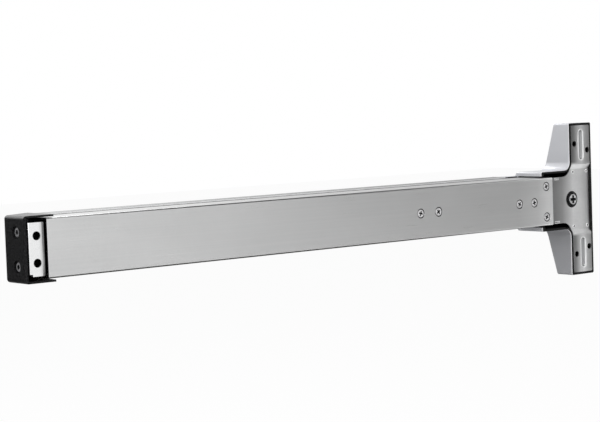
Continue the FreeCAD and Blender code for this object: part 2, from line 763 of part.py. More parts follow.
def base_plate():
    """The plate on the door: two ears, a middle set in by the channel's wall, and a tongue in the channel."""
    right = "(cover_wall + plate_side_gap - cover_side)"
    left = "(ear_width - cover_side - cover_wall - plate_inner_gap)"
    top = "(ear_half_height - cover_wall - plate_end_gap)"
    middle = "(plate_middle_height / 2)"
    tongue = "(" + INNER_HALF + " - tongue_clearance)"
    step = "(channel_start - pad_clearance)"
    end = "(channel_start + tongue_length)"
    upper = [(end, tongue), (step, tongue), (step, middle), (left, middle), (left, top), (right, top)]
    lower = [(x, "-" + z) for x, z in reversed(upper)]
    plan = outline("plate_plan", "XZ_Plane", upper + lower, "-margin", PLATE_TOP + " + margin * 2")
    inner = size("ear_width") - size("cover_side") - size("cover_wall") - size("plate_inner_gap")
    soften(plan, "plate_fillet", 1, mirrored([(inner, size("plate_middle_height") / 2)]))
    tip = size("ear_half_height") - size("cover_wall") - size("plate_end_gap")
    outer = size("cover_wall") + size("plate_side_gap") - size("cover_side")
    soften(plan, "plate_corner_radius", 1, mirrored([(inner, tip), (outer, tip)]))
    face = "-plate_thickness"
    rear = [("0", top), ("0", "joggle_outer"), ("-channel_wall", "joggle_inner")]
    front = [(face, top), (face, "joggle_outer"), ("-" + PLATE_TOP, "joggle_inner")]
    loop = rear + [(y, "-" + z) for y, z in reversed(rear)] + [(y, "-" + z) for y, z in front] + front[::-1]
    strip = outline("plate_strip", "YZ_Plane", loop, "-cover_side", "cover_side + margin + " + end)
    through = ("-margin", PLATE_TOP + " + margin")
    tools = [bore("hub_window", "room", "hub_window_radius", *through, "hub_side")]
    for side, sign in SIDES.items():
        reach = "(slot_length - slot_width) / 2"
        z = (sign + SLOT_HEIGHT + " - " + reach, sign + SLOT_HEIGHT + " + " + reach)
        tools.append(upright_slot("mount_slot_" + side, "0", z, "slot_width / 2", through))
        rim = ("-margin", "slot_rim_depth")
        tools.append(upright_slot("mount_slot_rim_" + side, "0", z, "(slot_width / 2 + slot_rim)", rim))
        for hole, x, z in HEAD_HOLES:
            tools.append(bore(hole + "_" + side, "room", "head_hole_radius", *through, x, "0", sign + z))
        z = (sign + "lance_height - lance_width / 2", sign + "lance_height + lance_width / 2")
        x = ("lance_side - lance_length / 2", "lance_side + lance_length / 2")
        tools.append(box("lance_" + side, x, through, z))
    for k, (x, z) in enumerate(RIVET_SPOTS):
        tools.append(bore("plate_rivet_hole_" + str(k), "room", "rivet_radius", *through, x, "0", z))
    for k, (x, z) in enumerate(PLATE_SCREWS):
        tools.append(bore("plate_screw_hole_" + str(k), "room", "screw_shank_radius", *through, x, "0", z))
    keep(cut("base_plate", common("plate_blank", plan, strip), *tools), "base_plate")


def latch_frame():
    """A pressed hat over the plate's middle, with the bolt's window in front and the spring's tab behind."""
    half = "(frame_half_height + frame_wall)"
    foot_top = PLATE_TOP + " + frame_wall"
    length = ("-frame_front", "frame_rear")
    pieces = [box("frame_top", length, ("frame_depth - frame_wall", "frame_depth"), ("-" + half, half))]
    for side, sign in SIDES.items():
        cheek = span(sign, "frame_half_height", half)
        pieces.append(box("frame_cheek_" + side, length, (PLATE_TOP, "frame_depth"), cheek))
        foot = span(sign, "frame_half_height", "foot_height")
        pieces.append(box("frame_foot_" + side, ("-frame_front", "foot_rear"), (PLATE_TOP, foot_top), foot))
    face_length = ("-frame_front - frame_wall", "-frame_front")
    face = box("frame_face", face_length, (foot_top, "frame_depth"), ("-" + half, half))
    opening_half = "(bolt_nose_height / 2 + bolt_clearance)"
    opening = box("frame_opening", ("-frame_front - frame_wall - margin", "-frame_front + margin"),
                  ("bolt_flat_depth - bolt_clearance", "bolt_back_depth + bolt_clearance"),
                  ("-" + opening_half, opening_half))
    pieces.append(cut("frame_front_wall", face, opening))
    tab_height = ("-spring_tab_height", "spring_tab_height")
    tab_depth = ("spring_tab_depth", "frame_depth")
    pieces.append(box("frame_tab", ("frame_rear - frame_wall", "frame_rear"), tab_depth, tab_height))
    ends = (PLATE_TOP + " - margin", foot_top + " + margin")
    holes = [bore("frame_rivet_hole_" + str(k), "room", "rivet_radius", *ends, x, "0", z)
             for k, (x, z) in enumerate(RIVET_SPOTS)]
    keep(cut("latch_frame", fuse("frame_blank", *pieces), *holes), "latch_frame")


def frame_rivets():
    """Four rivets that hold the frame's feet to the plate."""
    end = PLATE_TOP + " + frame_wall"
    rivets = [rivet("frame_rivet_" + str(k), "room", "channel_wall", end, x, "0", z)
              for k, (x, z) in enumerate(RIVET_SPOTS)]
    keep(group("frame_rivets", rivets), "frame_rivets")


def hub_bearing():
    """A round bearing plate that carries the trim hub behind the plate's window."""
    disc = bore("bearing_disc", "room", "hub_plate_radius", PLATE_TOP, HUB_PLATE_TOP, "hub_side")
    ends = (PLATE_TOP + " - margin", HUB_PLATE_TOP + " + margin")
    hole = bore("bearing_bore", "room", "hub_radius + running_clearance", *ends, "hub_side")
    keep(cut("hub_bearing", disc, hole), "hub_bearing")


def trim_hub():
    """The outside trim's hub: a barrel with a cross socket and one arm, and the crank pin in the arm."""
    barrel = bore("hub_barrel", "room", "hub_radius", "0", ARM_TOP)
    disc = bore("hub_disc", "room", "hub_disc_radius", ARM_REAR, ARM_TOP)
    arm = box("hub_arm", ("-hub_arm_half", "hub_arm_half"), (ARM_REAR, ARM_TOP), ("0", HUB_PIN_CIRCLE))
    tip = bore("hub_arm_tip", "room", "hub_arm_half", ARM_REAR, ARM_TOP, "0", "0", HUB_PIN_CIRCLE)
    depth = ("-margin", "hub_cross_depth")
    socket = cross("hub_socket", "0", depth, "0", "hub_cross_length", "hub_cross_width")
    socket.Placement = Placement(Vector(), Rotation(Vector(0, 1, 0), size("hub_swing") / 2))
    ends = (ARM_REAR + " - margin", ARM_TOP + " + margin")
    hole = bore("hub_pin_hole", "room", "hub_pin_radius", *ends, "0", "0", HUB_PIN_CIRCLE)
    hub = cut("trim_hub", fuse("hub_blank", barrel, disc, arm, tip), socket, hole)
    hub.Placement = Placement(Vector(), Rotation(Vector(0, 1, 0), -size("hub_swing") / 2))
    place(hub, "hub_side")
    keep(hub, "trim_hub")
    axis = (HUB_PIN_SIDE, "0", HUB_PIN_HEIGHT)
    keep(bore("hub_crank_pin", "room", "hub_pin_radius", ARM_REAR, SLIDE_TOP, *axis), "hub_crank_pin")


def latch_bolt():
    """The sprung bolt: a block guided in the frame and a nose bevelled on its room side."""
    block = outline("bolt_block", "XY_Plane", [
        (BOLT_FRONT, "-bolt_flat_depth"),
        (BOLT_RIB, "-bolt_flat_depth"),
        (BOLT_RIB, "-" + BOLT_BODY_REAR),
        ("bolt_rear", "-" + BOLT_BODY_REAR),
        ("bolt_rear", "-" + BOLT_BODY_TOP),
        (BOLT_FRONT, "-" + BOLT_BODY_TOP),
    ], "-" + BOLT_HALF, BOLT_HALF + " * 2")
    tip = "(-cover_side - bolt_nose_length)"
    nose = outline("bolt_nose", "XY_Plane", [
        ("0", "-bolt_flat_depth"),
        (tip, "-bolt_flat_depth"),
        (tip, "-bolt_bevel_tip"),
        ("-cover_side - bolt_bevel_rear", "-bolt_back_depth"),
        ("0", "-bolt_back_depth"),
    ], "-bolt_nose_height / 2", "bolt_nose_height")
    point = -size("cover_side") - size("bolt_nose_length")
    soften(nose, "bolt_edge_radius", 2, [(point, -size("bolt_flat_depth")), (point, -size("bolt_bevel_tip"))])
    floor = "bolt_rear - latch_spring_pocket"
    radius = "latch_spring_radius + spring_pocket_clearance"
    pocket = bore("bolt_pocket", "x", radius, floor, "bolt_rear + margin", "0", "latch_spring_depth")
    keep(cut("latch_bolt", fuse("bolt_blank", block, nose), pocket), "latch_bolt")
    axis = ("0", "latch_spring_depth")
    end = "frame_rear - frame_wall"
    coil = bore("latch_spring_outside", "x", "latch_spring_radius", floor, end, *axis)
    inner = "latch_spring_radius - spring_wire"
    hole = bore("latch_spring_inside", "x", inner, floor + " - margin", end + " + margin", *axis)
    keep(cut("latch_spring", coil, hole), "latch_spring")


def retractor_slide():
    """A flat slide whose lug draws the bolt in and whose slot takes the hub's crank pin."""
    layer = (SLIDE_REAR, SLIDE_TOP)
    tail_height = ("-slide_tail_half", "slide_tail_half")
    lug_rear = BOLT_RIB + " - bolt_clearance"
    lug_length = (lug_rear + " - slide_thickness", lug_rear)
    lug_height = ("-slide_lug_half", "slide_lug_half")
    tab_length = ("slide_rear - slide_tab_front", "slide_rear + slide_tab_rear")
    tab_height = ("rod_near_side - slide_thickness", "rod_near_side")
    blank = fuse(
        "slide_blank",
        box("slide_wide", ("slide_front", "slide_wide_rear"), layer, ("-" + BOLT_HALF, BOLT_HALF)),
        box("slide_tail", ("slide_wide_rear", "slide_rear"), layer, tail_height),
        box("slide_lug", lug_length, (SLIDE_REAR, "bolt_flat_depth - layer_gap"), lug_height),
        box("slide_tab", tab_length, (SLIDE_REAR, ROD_TOP), tab_height),
    )
    half = "(hub_pin_radius + slide_slot_clearance)"
    slot_length = (HUB_PIN_SIDE + " - " + half, HUB_PIN_SIDE + " + " + half)
    slot_depth = (SLIDE_REAR + " - margin", SLIDE_TOP + " + margin")
    low = HUB_PIN_HEIGHT + " - hub_pin_radius - slot_clearance"
    high = HUB_PIN_CIRCLE + " + hub_pin_radius + slot_clearance"
    tools = [box("slide_pin_slot", slot_length, slot_depth, (low, high))]
    ends = (tab_height[0] + " - margin", tab_height[1] + " + margin")
    for k, x in enumerate(SLIDE_RIVETS):
        tools.append(bore("slide_rivet_hole_" + str(k), "z", "rivet_radius", *ends, x, ROD_MIDDLE))
    keep(cut("retractor_slide", blank, *tools), "retractor_slide")


def slide_rivets():
    """Two rivets that join the slide's tab to the rod."""
    near = "rod_near_side - slide_thickness"
    rivets = [rivet("slide_rivet_" + str(k), "z", near, ROD_FAR_SIDE, x, ROD_MIDDLE)
              for k, x in enumerate(SLIDE_RIVETS)]
    keep(group("slide_rivets", rivets), "slide_rivets")


def connecting_rod():
    """The flat rod that ties both levers to the slide."""
    length = ("slide_rear + rod_front_gap", HINGE_PIVOT + " - latch_throw / 2 + rod_tail")
    bar = box("rod_bar", length, (ROD_REAR, ROD_TOP), ("rod_near_side", ROD_FAR_SIDE))
    ends = ("rod_near_side - margin", ROD_FAR_SIDE + " + margin")
    radius = "(link_pin_radius + slot_clearance)"
    depths = ("(pivot_depth - " + ROD_ARM + ")", "(pivot_depth - " + ROD_ARM_SHORT + ")")
    tools = []
    for station, pivot in STATIONS.items():
        x = "(" + pivot + " - latch_throw / 2)"
        name = "rod_slot_" + station
        for k, depth in enumerate(depths):
            tools.append(bore(name + "_" + str(k), "z", radius, *ends, x, depth))
        tools.append(box(name, (x + " - " + radius, x + " + " + radius), depths, ends))
    for k, x in enumerate(SLIDE_RIVETS):
        tools.append(bore("rod_rivet_hole_" + str(k), "z", "rivet_radius", *ends, x, ROD_MIDDLE))
    keep(cut("connecting_rod", bar, *tools), "connecting_rod")


def bell_crank(station, pivot):
    """A lever on an upright pin: one arm takes the pad's link pin, the other carries the rod's pin."""
    name = station + "_bell_crank"
    layer = ("-lever_thickness / 2", "lever_thickness / 2")
    barrel_half = "(bracket_half_gap - lever_hub_clearance)"
    pieces = [
        bore(name + "_barrel", "z", "lever_hub_radius", "-" + barrel_half, barrel_half),
        box(name + "_pad_arm", ("-" + PAD_ARM, "0"), ("-lever_arm_half", "lever_arm_half"), layer),
        bore(name + "_pad_arm_end", "z", "lever_arm_half", *layer, "-" + PAD_ARM),
        box(name + "_rod_arm", ("-rod_arm_half", "rod_arm_half"), ("-" + ROD_ARM, "0"), layer),
        bore(name + "_rod_arm_end", "z", "rod_arm_half", *layer, "0", "-" + ROD_ARM),
    ]
    radius = "(link_pin_radius + slot_clearance)"
    ends = (layer[0] + " - margin", layer[1] + " + margin")
    bore_radius = "pivot_pin_radius + running_clearance"
    tools = [
        bore(name + "_bore", "z", bore_radius, "-bracket_half_gap", "bracket_half_gap"),
        bore(name + "_slot_far", "z", radius, *ends, "-" + PAD_ARM),
        bore(name + "_slot_near", "z", radius, *ends, "-" + PAD_ARM_SHORT),
        box(name + "_slot", ("-" + PAD_ARM, "-" + PAD_ARM_SHORT), ("-" + radius, radius), ends),
        bore(name + "_pin_hole", "z", "link_pin_radius", *ends, "0", "-" + ROD_ARM),
    ]
    crank = cut(name, fuse(name + "_blank", *pieces), *tools)
    crank.Placement = Placement(Vector(), Rotation(Vector(0, 0, 1), size("lever_swing") / 2))
    place(crank, pivot, "pivot_depth")
    keep(crank, name)
    pin = bore(station + "_rod_pin", "z", "link_pin_radius", layer[0], ROD_FAR_SIDE + " + rod_pin_overhang",
               pivot + " - latch_throw / 2", "pivot_depth - " + ROD_ARM_SHORT)
    keep(pin, station + "_rod_pin")


def bracket_rivet_spots(pivot):
    return [pivot + " - bracket_rivet_spacing / 2", pivot + " + bracket_rivet_spacing / 2"]


def lever_bracket(station, pivot):
    """A U bracket riveted to the rail, with the lever's pivot pin across its cheeks."""
    name = station + "_lever_bracket"
    base_top = RAIL_TOP + " + bracket_wall"
    length = (pivot + " - bracket_length / 2", pivot + " + bracket_length / 2")
    pieces = [box(name + "_base", length, (RAIL_TOP, base_top), ("-" + BRACKET_OUTER, BRACKET_OUTER))]
    width = (pivot + " - bracket_cheek / 2", pivot + " + bracket_cheek / 2")
    for side, sign in SIDES.items():
        walls = span(sign, "bracket_half_gap", BRACKET_OUTER)
        pieces.append(box(name + "_cheek_" + side, width, (RAIL_TOP, "bracket_top"), walls))
    axis = (pivot, "pivot_depth")
    ends = ("-" + BRACKET_OUTER + " - margin", BRACKET_OUTER + " + margin")
    tools = [bore(name + "_pivot_hole", "z", "pivot_pin_radius", *ends, *axis)]
    ends = (RAIL_TOP + " - margin", base_top + " + margin")
    for k, x in enumerate(bracket_rivet_spots(pivot)):
        tools.append(bore(name + "_rivet_hole_" + str(k), "room", "rivet_radius", *ends, x))
    keep(cut(name, fuse(name + "_blank", *pieces), *tools), name)
    name = station + "_pivot_pin"
    top = (BRACKET_OUTER, BRACKET_OUTER + " + pin_head_height")
    foot = ("-" + BRACKET_OUTER + " - pin_head_height", "-" + BRACKET_OUTER)
    pin = [
        bore(name + "_shaft", "z", "pivot_pin_radius", "-" + BRACKET_OUTER, BRACKET_OUTER, *axis),
        bore(name + "_top", "z", "pin_head_radius", *top, *axis),
        bore(name + "_foot", "z", "pin_head_radius", *foot, *axis),
    ]
    keep(fuse(name, *pin), name)


def bracket_rivets():
    """Rivets that hold both lever brackets to the rail, flush on its rear face."""
    rivets = []
    end = RAIL_TOP + " + bracket_wall"
    for station, pivot in STATIONS.items():
        for k, x in enumerate(bracket_rivet_spots(pivot)):
            name = station + "_bracket_rivet_" + str(k)
            rivets.append(rivet(name, "room", "channel_wall", end, x, rear_head=False))
    keep(group("bracket_rivets", rivets), "bracket_rivets")


def pad_lug(station, pivot):
    """A lug held by the pad's hooks, with the link pin that works in the lever's slot."""
    name = station + "_pad_lug"
    x = "(" + pivot + " - " + PAD_ARM_SHORT + ")"
    web_half = "(" + HOOK_WALL_SIDE + " - lug_play)"
    length = (x + " - lug_length / 2", x + " + lug_length / 2")
    pieces = [box(name + "_web", length, (HOOK_LIP_TOP, PAD_FACE), ("-" + web_half, web_half))]
    width = (x + " - lug_cheek / 2", x + " + lug_cheek / 2")
    depth = (LINK_DEPTH + " - link_pin_radius - lug_end", HOOK_LIP_TOP)
    for side, sign in SIDES.items():
        pieces.append(box(name + "_cheek_" + side, width, depth, span(sign, "lug_half_gap", LUG_OUTER)))
    ends = ("-" + LUG_OUTER + " - margin", LUG_OUTER + " + margin")
    hole = bore(name + "_hole", "z", "link_pin_radius", *ends, x, LINK_DEPTH)
    keep(cut(name, fuse(name + "_blank", *pieces), hole), name)
    pin = bore(station + "_link_pin", "z", "link_pin_radius", "-" + LUG_OUTER, LUG_OUTER, x, LINK_DEPTH)
    keep(pin, station + "_link_pin")


def pad_springs(station, pivot):
    """Two return springs between the rail and the pad."""
    springs = []
    x = pivot + " + pad_spring_side"
    for side, sign in SIDES.items():
        name = station + "_spring_" + side
        z = sign + "pad_spring_height"
        coil = bore(name + "_outside", "room", "pad_spring_radius", RAIL_TOP, PAD_FACE, x, "0", z)
        ends = (RAIL_TOP + " - margin", PAD_FACE + " + margin")
        hole = bore(name + "_inside", "room", "pad_spring_radius - spring_wire", *ends, x, "0", z)
        springs.append(cut(name, coil, hole))
    keep(group(station + "_pad_springs", springs), station + "_pad_springs")


def mechanism_rail():
    """The rail that carries both levers, with turned-up edges and pegs for the return springs."""
    length = ("channel_start + tongue_length + rail_start_gap", RAIL_END)
    height = ("-rail_half_height", "rail_half_height")
    pieces = [box("rail_floor", length, ("channel_wall", RAIL_TOP), height)]
    peg = ("channel_wall", RAIL_TOP + " + spring_seat_height")
    for side, sign in SIDES.items():
        lip = span(sign, "(rail_half_height - rail_lip)", "rail_half_height")
        pieces.append(box("rail_lip_" + side, length, ("channel_wall", RAIL_TOP + " + rail_lip_height"), lip))
        for station, pivot in STATIONS.items():
            axis = (pivot + " + pad_spring_side", "0", sign + "pad_spring_height")
            name = "spring_peg_" + station + "_" + side
            pieces.append(bore(name, "room", "spring_seat_radius", *peg, *axis))
    ends = ("channel_wall - margin", RAIL_TOP + " + margin")
    tools = [bore("rail_screw_hole_" + str(k), "room", "screw_shank_radius", *ends, x, "0", z)
             for k, (x, z) in enumerate(RAIL_SCREWS)]
    for station, pivot in STATIONS.items():
        for k, x in enumerate(bracket_rivet_spots(pivot)):
            tools.append(bore("rail_rivet_hole_" + station + "_" + str(k), "room", "rivet_radius", *ends, x))
    keep(cut("mechanism_rail", fuse("rail_blank", *pieces), *tools), "mechanism_rail")


def bumpers():
    """Rubber blocks on the brackets that meet the lugs when the pad is pushed in."""
    blocks = []
    top = LINK_DEPTH + " - link_pin_radius - lug_end - pad_travel - bumper_gap"
    for station, pivot in STATIONS.items():
        x = "(" + pivot + " - " + PAD_ARM_SHORT + ")"
        length = (x + " - bumper_length / 2", x + " + bumper_length / 2")
        depth = (RAIL_TOP + " + bracket_wall", top)
        blocks.append(box(station + "_bumper", length, depth, ("-bracket_half_gap", "-bumper_inner")))
    keep(group("bumpers", blocks), "bumpers")


def bar_end():
    """The X of the bar's hinge end."""
    return size("channel_start") + size("channel_length") - size("cap_overlap") + size("cap_length")


def end_bracket():
    """The hinge-end bracket: a plate on the door, dipped into the channel, and a flange for the cap."""
    wall = "(" + CHANNEL_END + " + end_bracket_gap)"
    wall_inside = "(" + wall + " + end_bracket_thickness)"
    dip_end = "(" + wall + " - end_bracket_dip_length)"
    seat = "(" + dip_end + " - (end_bracket_dip - channel_wall))"
    floor = "(end_bracket_dip + end_bracket_thickness)"
    top = "(channel_wall + end_bracket_thickness)"
    mitre = "end_bracket_thickness * tan(22.5)"
    inside = "(" + BRACKET_EDGE + " - end_bracket_thickness)"
    profile = outline("end_bracket_profile", "XY_Plane", [
        (BRACKET_EDGE, "0"),
        (wall, "0"),
        (wall, "-end_bracket_dip"),
        (dip_end, "-end_bracket_dip"),
        (seat, "-channel_wall"),
        (TONGUE_END, "-channel_wall"),
        (TONGUE_END, "-" + top),
        (seat + " - " + mitre, "-" + top),
        (dip_end + " - " + mitre, "-" + floor),
        (wall_inside, "-" + floor),
        (wall_inside, "-end_bracket_thickness"),
        (inside, "-end_bracket_thickness"),
        (inside, "-end_bracket_flange"),
        (BRACKET_EDGE, "-end_bracket_flange"),
    ], "-end_bracket_height / 2", "end_bracket_height")
    face = size("channel_start") + size("channel_length") + size("end_bracket_gap")
    thickness = size("end_bracket_thickness")
    edge = bar_end() - size("cap_end_wall") - size("cap_boss_height")
    soften(profile, "end_bracket_bend", 2, [(face, 0)])
    soften(profile, "end_bracket_bend - end_bracket_thickness", 2, [(face + thickness, -thickness)])
    soften(profile, "end_bracket_edge_radius", 2, [(edge, 0)])
    notch_length = (BRACKET_EDGE + " - end_notch_length", BRACKET_EDGE + " + margin")
    notch_height = ("-end_bracket_height / 2 - margin", "end_notch_height - end_bracket_height / 2")
    tools = [box("end_notch", notch_length, ("-margin", "end_bracket_flange + margin"), notch_height)]
    ends = ("-margin", "end_bracket_thickness + margin")
    reach = (inside + " - margin", BRACKET_EDGE + " + margin")
    for side, sign in SIDES.items():
        axis = (CHANNEL_END + " + end_hole_gap", "0", sign + "end_hole_height")
        tools.append(bore("end_hole_" + side, "room", "end_hole_radius", *ends, *axis))
        axis = ("0", "cap_screw_depth", sign + "cap_screw_height")
        tools.append(bore("end_flange_hole_" + side, "x", "cap_screw_radius", *reach, *axis))
    keep(cut("end_bracket", profile, *tools), "end_bracket")


def end_cap():
    """The moulded cap over the bar's hinge end, open at the back and towards the bar."""
    rise = "((cap_inner_depth - cap_outer_depth) / cap_length)"
    block = outline("cap_block", "XY_Plane", [
        (CAP_EDGE, "0"),
        (CAP_END, "0"),
        (CAP_END, "-cap_outer_depth"),
        (CAP_EDGE, "-cap_inner_depth"),
    ], "-cap_half_height", "cap_half_height * 2")
    soften(block, "cap_corner_radius", 2, [(bar_end(), -size("cap_outer_depth"))])
    soften(block, "cap_edge_radius", 1, mirrored([(bar_end(), size("cap_half_height"))]))
    far = "-(cap_outer_depth + cap_end_wall * " + rise + " - cap_front_wall)"
    void = outline("cap_void", "XY_Plane", [
        (CAP_EDGE + " - margin", "margin"),
        (CAP_INSIDE, "margin"),
        (CAP_INSIDE, far),
        (CAP_EDGE + " - margin", "-(cap_inner_depth + margin * " + rise + " - cap_front_wall)"),
    ], "cap_side_wall - cap_half_height", "(cap_half_height - cap_side_wall) * 2")
    bosses = []
    tools = []
    seat = CAP_END + " - cap_counterbore_depth"
    for side, sign in SIDES.items():
        axis = ("0", "cap_screw_depth", sign + "cap_screw_height")
        bosses.append(bore("cap_boss_" + side, "x", "cap_boss_radius", BRACKET_EDGE, CAP_INSIDE, *axis))
        name = "cap_counterbore_" + side
        tools.append(bore(name, "x", "cap_counterbore_radius", seat, CAP_END + " + margin", *axis))
        radius = "cap_screw_radius + running_clearance"
        ends = (BRACKET_EDGE + " - margin", CAP_END)
        tools.append(bore("cap_screw_hole_" + side, "x", radius, *ends, *axis))
    shell = cut("cap_shell", block, void)
    keep(cut("end_cap", fuse("cap_blank", shell, *bosses), *tools), "end_cap")


def end_cap_screws():
    """Two socket screws in the cap's counterbores."""
    screws = []
    seat = "(" + CAP_END + " - cap_counterbore_depth)"
    top = seat + " + cap_screw_head_height"
    for side, sign in SIDES.items():
        axis = ("0", "cap_screw_depth", sign + "cap_screw_height")
        name = "end_cap_screw_" + side
        head = bore(name + "_head", "x", "cap_screw_head_radius", seat, top, *axis)
        shank = bore(name + "_shank", "x", "cap_screw_radius", seat + " - cap_screw_length", seat, *axis)
        socket = doc.addObject("Part::Prism", name + "_socket")
        socket.Polygon = 6
        socket.Placement = Placement(Vector(), TURNS["x"])
        bind(socket, Circumradius="cap_socket / 2 / cos(30)", Height="cap_socket_depth + margin")
        place(socket, top + " - cap_socket_depth", axis[1], axis[2])
        screws.append(cut(name, fuse(name + "_blank", head, shank), socket))
    keep(group("end_cap_screws", screws), "end_cap_screws")


housing_channel()
channel_screws()
touch_pad()
pad_cap("pad_head_cap", PAD_START, PAD_START + " + cap_flange")
pad_cap("pad_hinge_cap", PAD_END + " - cap_flange", PAD_END + " - cap_flange - cap_plug_length")
head_cover()
cover_screws()
base_plate()
latch_frame()
frame_rivets()
hub_bearing()
trim_hub()
latch_bolt()
retractor_slide()
slide_rivets()
connecting_rod()
for station, pivot in STATIONS.items():
    bell_crank(station, pivot)
    lever_bracket(station, pivot)
    pad_lug(station, pivot)
    pad_springs(station, pivot)
bracket_rivets()
mechanism_rail()
bumpers()
end_bracket()
end_cap()
end_cap_screws()

doc.recompute()
for thing in doc.Objects:
    if "Invalid" in thing.State or "Error" in thing.State:
        raise RuntimeError(thing.Name + " failed")
for part in parts:
    if part.Shape.isNull() or not part.Shape.isValid():
        raise RuntimeError(part.Label + " has no valid shape")

os.makedirs("parts", exist_ok=True)
for part in parts:
    part.Shape.exportStep("parts/" + part.Label + ".step")
    print(part.Label, len(part.Shape.Solids), round(part.Shape.Volume, 1))
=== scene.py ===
"""The looks of a touch-bar exit device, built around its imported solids.

Places are in metres: X runs along the bar from the latch head to the end cap, +Y points at the door and +Z
is up. The origin lies on the door plane, midway between the two mounting slots of the head.
"""
import math

import bmesh
import bpy
from mathutils import Matrix, Quaternion, Vector
from mathutils.bvhtree import BVHTree


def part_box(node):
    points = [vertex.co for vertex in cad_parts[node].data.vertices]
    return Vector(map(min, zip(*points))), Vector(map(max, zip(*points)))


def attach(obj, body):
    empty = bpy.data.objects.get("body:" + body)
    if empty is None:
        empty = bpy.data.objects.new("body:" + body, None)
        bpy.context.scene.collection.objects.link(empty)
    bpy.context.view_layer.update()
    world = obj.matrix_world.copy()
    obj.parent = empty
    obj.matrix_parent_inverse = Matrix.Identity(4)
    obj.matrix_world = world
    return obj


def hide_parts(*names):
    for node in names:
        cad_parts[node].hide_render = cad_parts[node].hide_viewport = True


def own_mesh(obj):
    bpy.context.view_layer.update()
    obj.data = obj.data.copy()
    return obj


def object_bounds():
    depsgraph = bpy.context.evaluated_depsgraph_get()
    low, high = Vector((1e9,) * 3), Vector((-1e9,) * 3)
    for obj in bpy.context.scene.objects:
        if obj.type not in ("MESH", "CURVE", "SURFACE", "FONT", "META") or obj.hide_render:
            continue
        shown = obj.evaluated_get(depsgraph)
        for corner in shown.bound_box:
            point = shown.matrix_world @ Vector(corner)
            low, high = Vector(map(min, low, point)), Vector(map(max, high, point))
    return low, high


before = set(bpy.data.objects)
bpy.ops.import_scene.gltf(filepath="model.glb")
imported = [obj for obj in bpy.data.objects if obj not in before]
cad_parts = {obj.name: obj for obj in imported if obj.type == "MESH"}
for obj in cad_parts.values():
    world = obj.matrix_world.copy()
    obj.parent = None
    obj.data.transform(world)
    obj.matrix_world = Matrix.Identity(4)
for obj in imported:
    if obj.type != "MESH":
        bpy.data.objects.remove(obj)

cad_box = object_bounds()
MM = 0.001

# Sizes of the CAD parts that several modelled pieces sit on
CHANNEL_WALL = 2.4 * MM
PLATE_THICKNESS = 2.5 * MM
SLOT_HEIGHT = 66.9 * MM
SLOT_REACH = 14.75 * MM
SLOT_RADIUS = 3.4 * MM
SLOT_BEAD = 0.65 * MM
HUB_SIDE = 16.5 * MM

# How closely points are taken as one, and what counts as flat or sharp
SMALL = 0.02 * MM
SEAM_MERGE = 0.001 * MM
CAD_MERGE = 0.002 * MM
BEAD_MERGE = 0.005 * MM
FLAT_ANGLE = math.radians(0.4)
SHARP_ANGLE = math.radians(32)
CHANNEL_SHARP_ANGLE = math.radians(40)
RIM_ANGLE = math.radians(50)
SAWN_ANGLE = math.radians(60)
WIDE_FACE = 2.5 * MM

# How much of a face's normal has to point a way for the face to lean, to face or to lie square that way
LEANING = 0.25
FACING = 0.5
SQUARE = 0.9

# Ways to turn a piece that was modelled facing up
TOWARDS_DOOR = Matrix.Rotation(-math.tau / 4, 4, "X")
INTO_ROOM = Matrix.Rotation(math.tau / 4, 4, "X")
ALONG_BAR = Matrix.Rotation(math.tau / 4, 4, "Y")


# ---- Finishes ----

# Grain of the finishes, in cells per metre: for all ways alike, or along the bar, towards the door and up
FINE_BRUSHING = (9, 2600, 2600)
BROAD_BRUSHING = (5, 420, 420)
BRUSHED_CLOUDS = (14, 30, 30)
CAST_SPECKLE = 1500
CAST_CLOUDS = 45
ZINC_SPANGLE = 420
ZINC_CLOUDS = 60
ZINC_ROLLING = (40, 40, 900)
TOOL_MARKS = (900, 900, 5200)
STEEL_CLOUDS = 110
RUBBER_BLOOM = 260

# Depth of the finishes' relief
BRUSHING_DEPTH = 0.02 * MM
CAST_DEPTH = 0.03 * MM
ZINC_DEPTH = 0.006 * MM
TOOL_MARK_DEPTH = 0.02 * MM
GRAIN_DEPTH = 0.25 * MM
RUBBER_DEPTH = 0.06 * MM

# Painted light and shade on the broad surfaces, which darken or lighten their colour: pairs of a place along
# the bar, or a height for the cover, and the painted shade there
# The channel: painted light near the head end, standing in for a brighter reflection there, and painted shade
# along the rest of the bar
CHANNEL_PAINTED_SHADES = (
    (50.0 * MM, 1.0), (63.0 * MM, 0.98), (80.0 * MM, 0.8), (115.0 * MM, 0.67), (300.0 * MM, 0.7),
    (480.0 * MM, 0.71), (800.0 * MM, 0.74),
)
# The cover: painted shade that makes its lower ear and lower side darker, as if lit from above
COVER_PAINTED_SHADES = (
    (-94.0 * MM, 0.68), (-60.0 * MM, 0.65), (-44.0 * MM, 0.57), (-38.0 * MM, 0.62), (-36.0 * MM, 0.95),
    (30.0 * MM, 0.85), (46.0 * MM, 0.84), (62.0 * MM, 0.9), (90.0 * MM, 0.93),
)
# The base plate's middle: painted light near the hub, and painted shade that is darkest where it meets the
# bar
PLATE_PAINTED_SHADES = (
    (-16.0 * MM, 0.66), (-9.0 * MM, 0.72), (0.0, 0.92), (14.0 * MM, 0.97), (24.0 * MM, 0.7),
    (34.0 * MM, 0.45), (53.0 * MM, 0.28),
)
# The base plate's ears: painted shade towards both of their side edges
EAR_PAINTED_SHADES = (
    (-16.0 * MM, 0.38), (-9.0 * MM, 0.6), (0.0, 0.92), (6.0 * MM, 0.74), (13.0 * MM, 0.35), (19.0 * MM, 0.19),
)
# The end bracket: painted shadow, near black in its bend next to the channel and fading out onto the flat
BRACKET_PAINTED_SHADOW = (
    (770.4 * MM, 0.01), (772.0 * MM, 0.05), (773.5 * MM, 0.17), (775.0 * MM, 0.38), (777.0 * MM, 0.74),
    (779.5 * MM, 0.96), (791.0 * MM, 1.0),
)
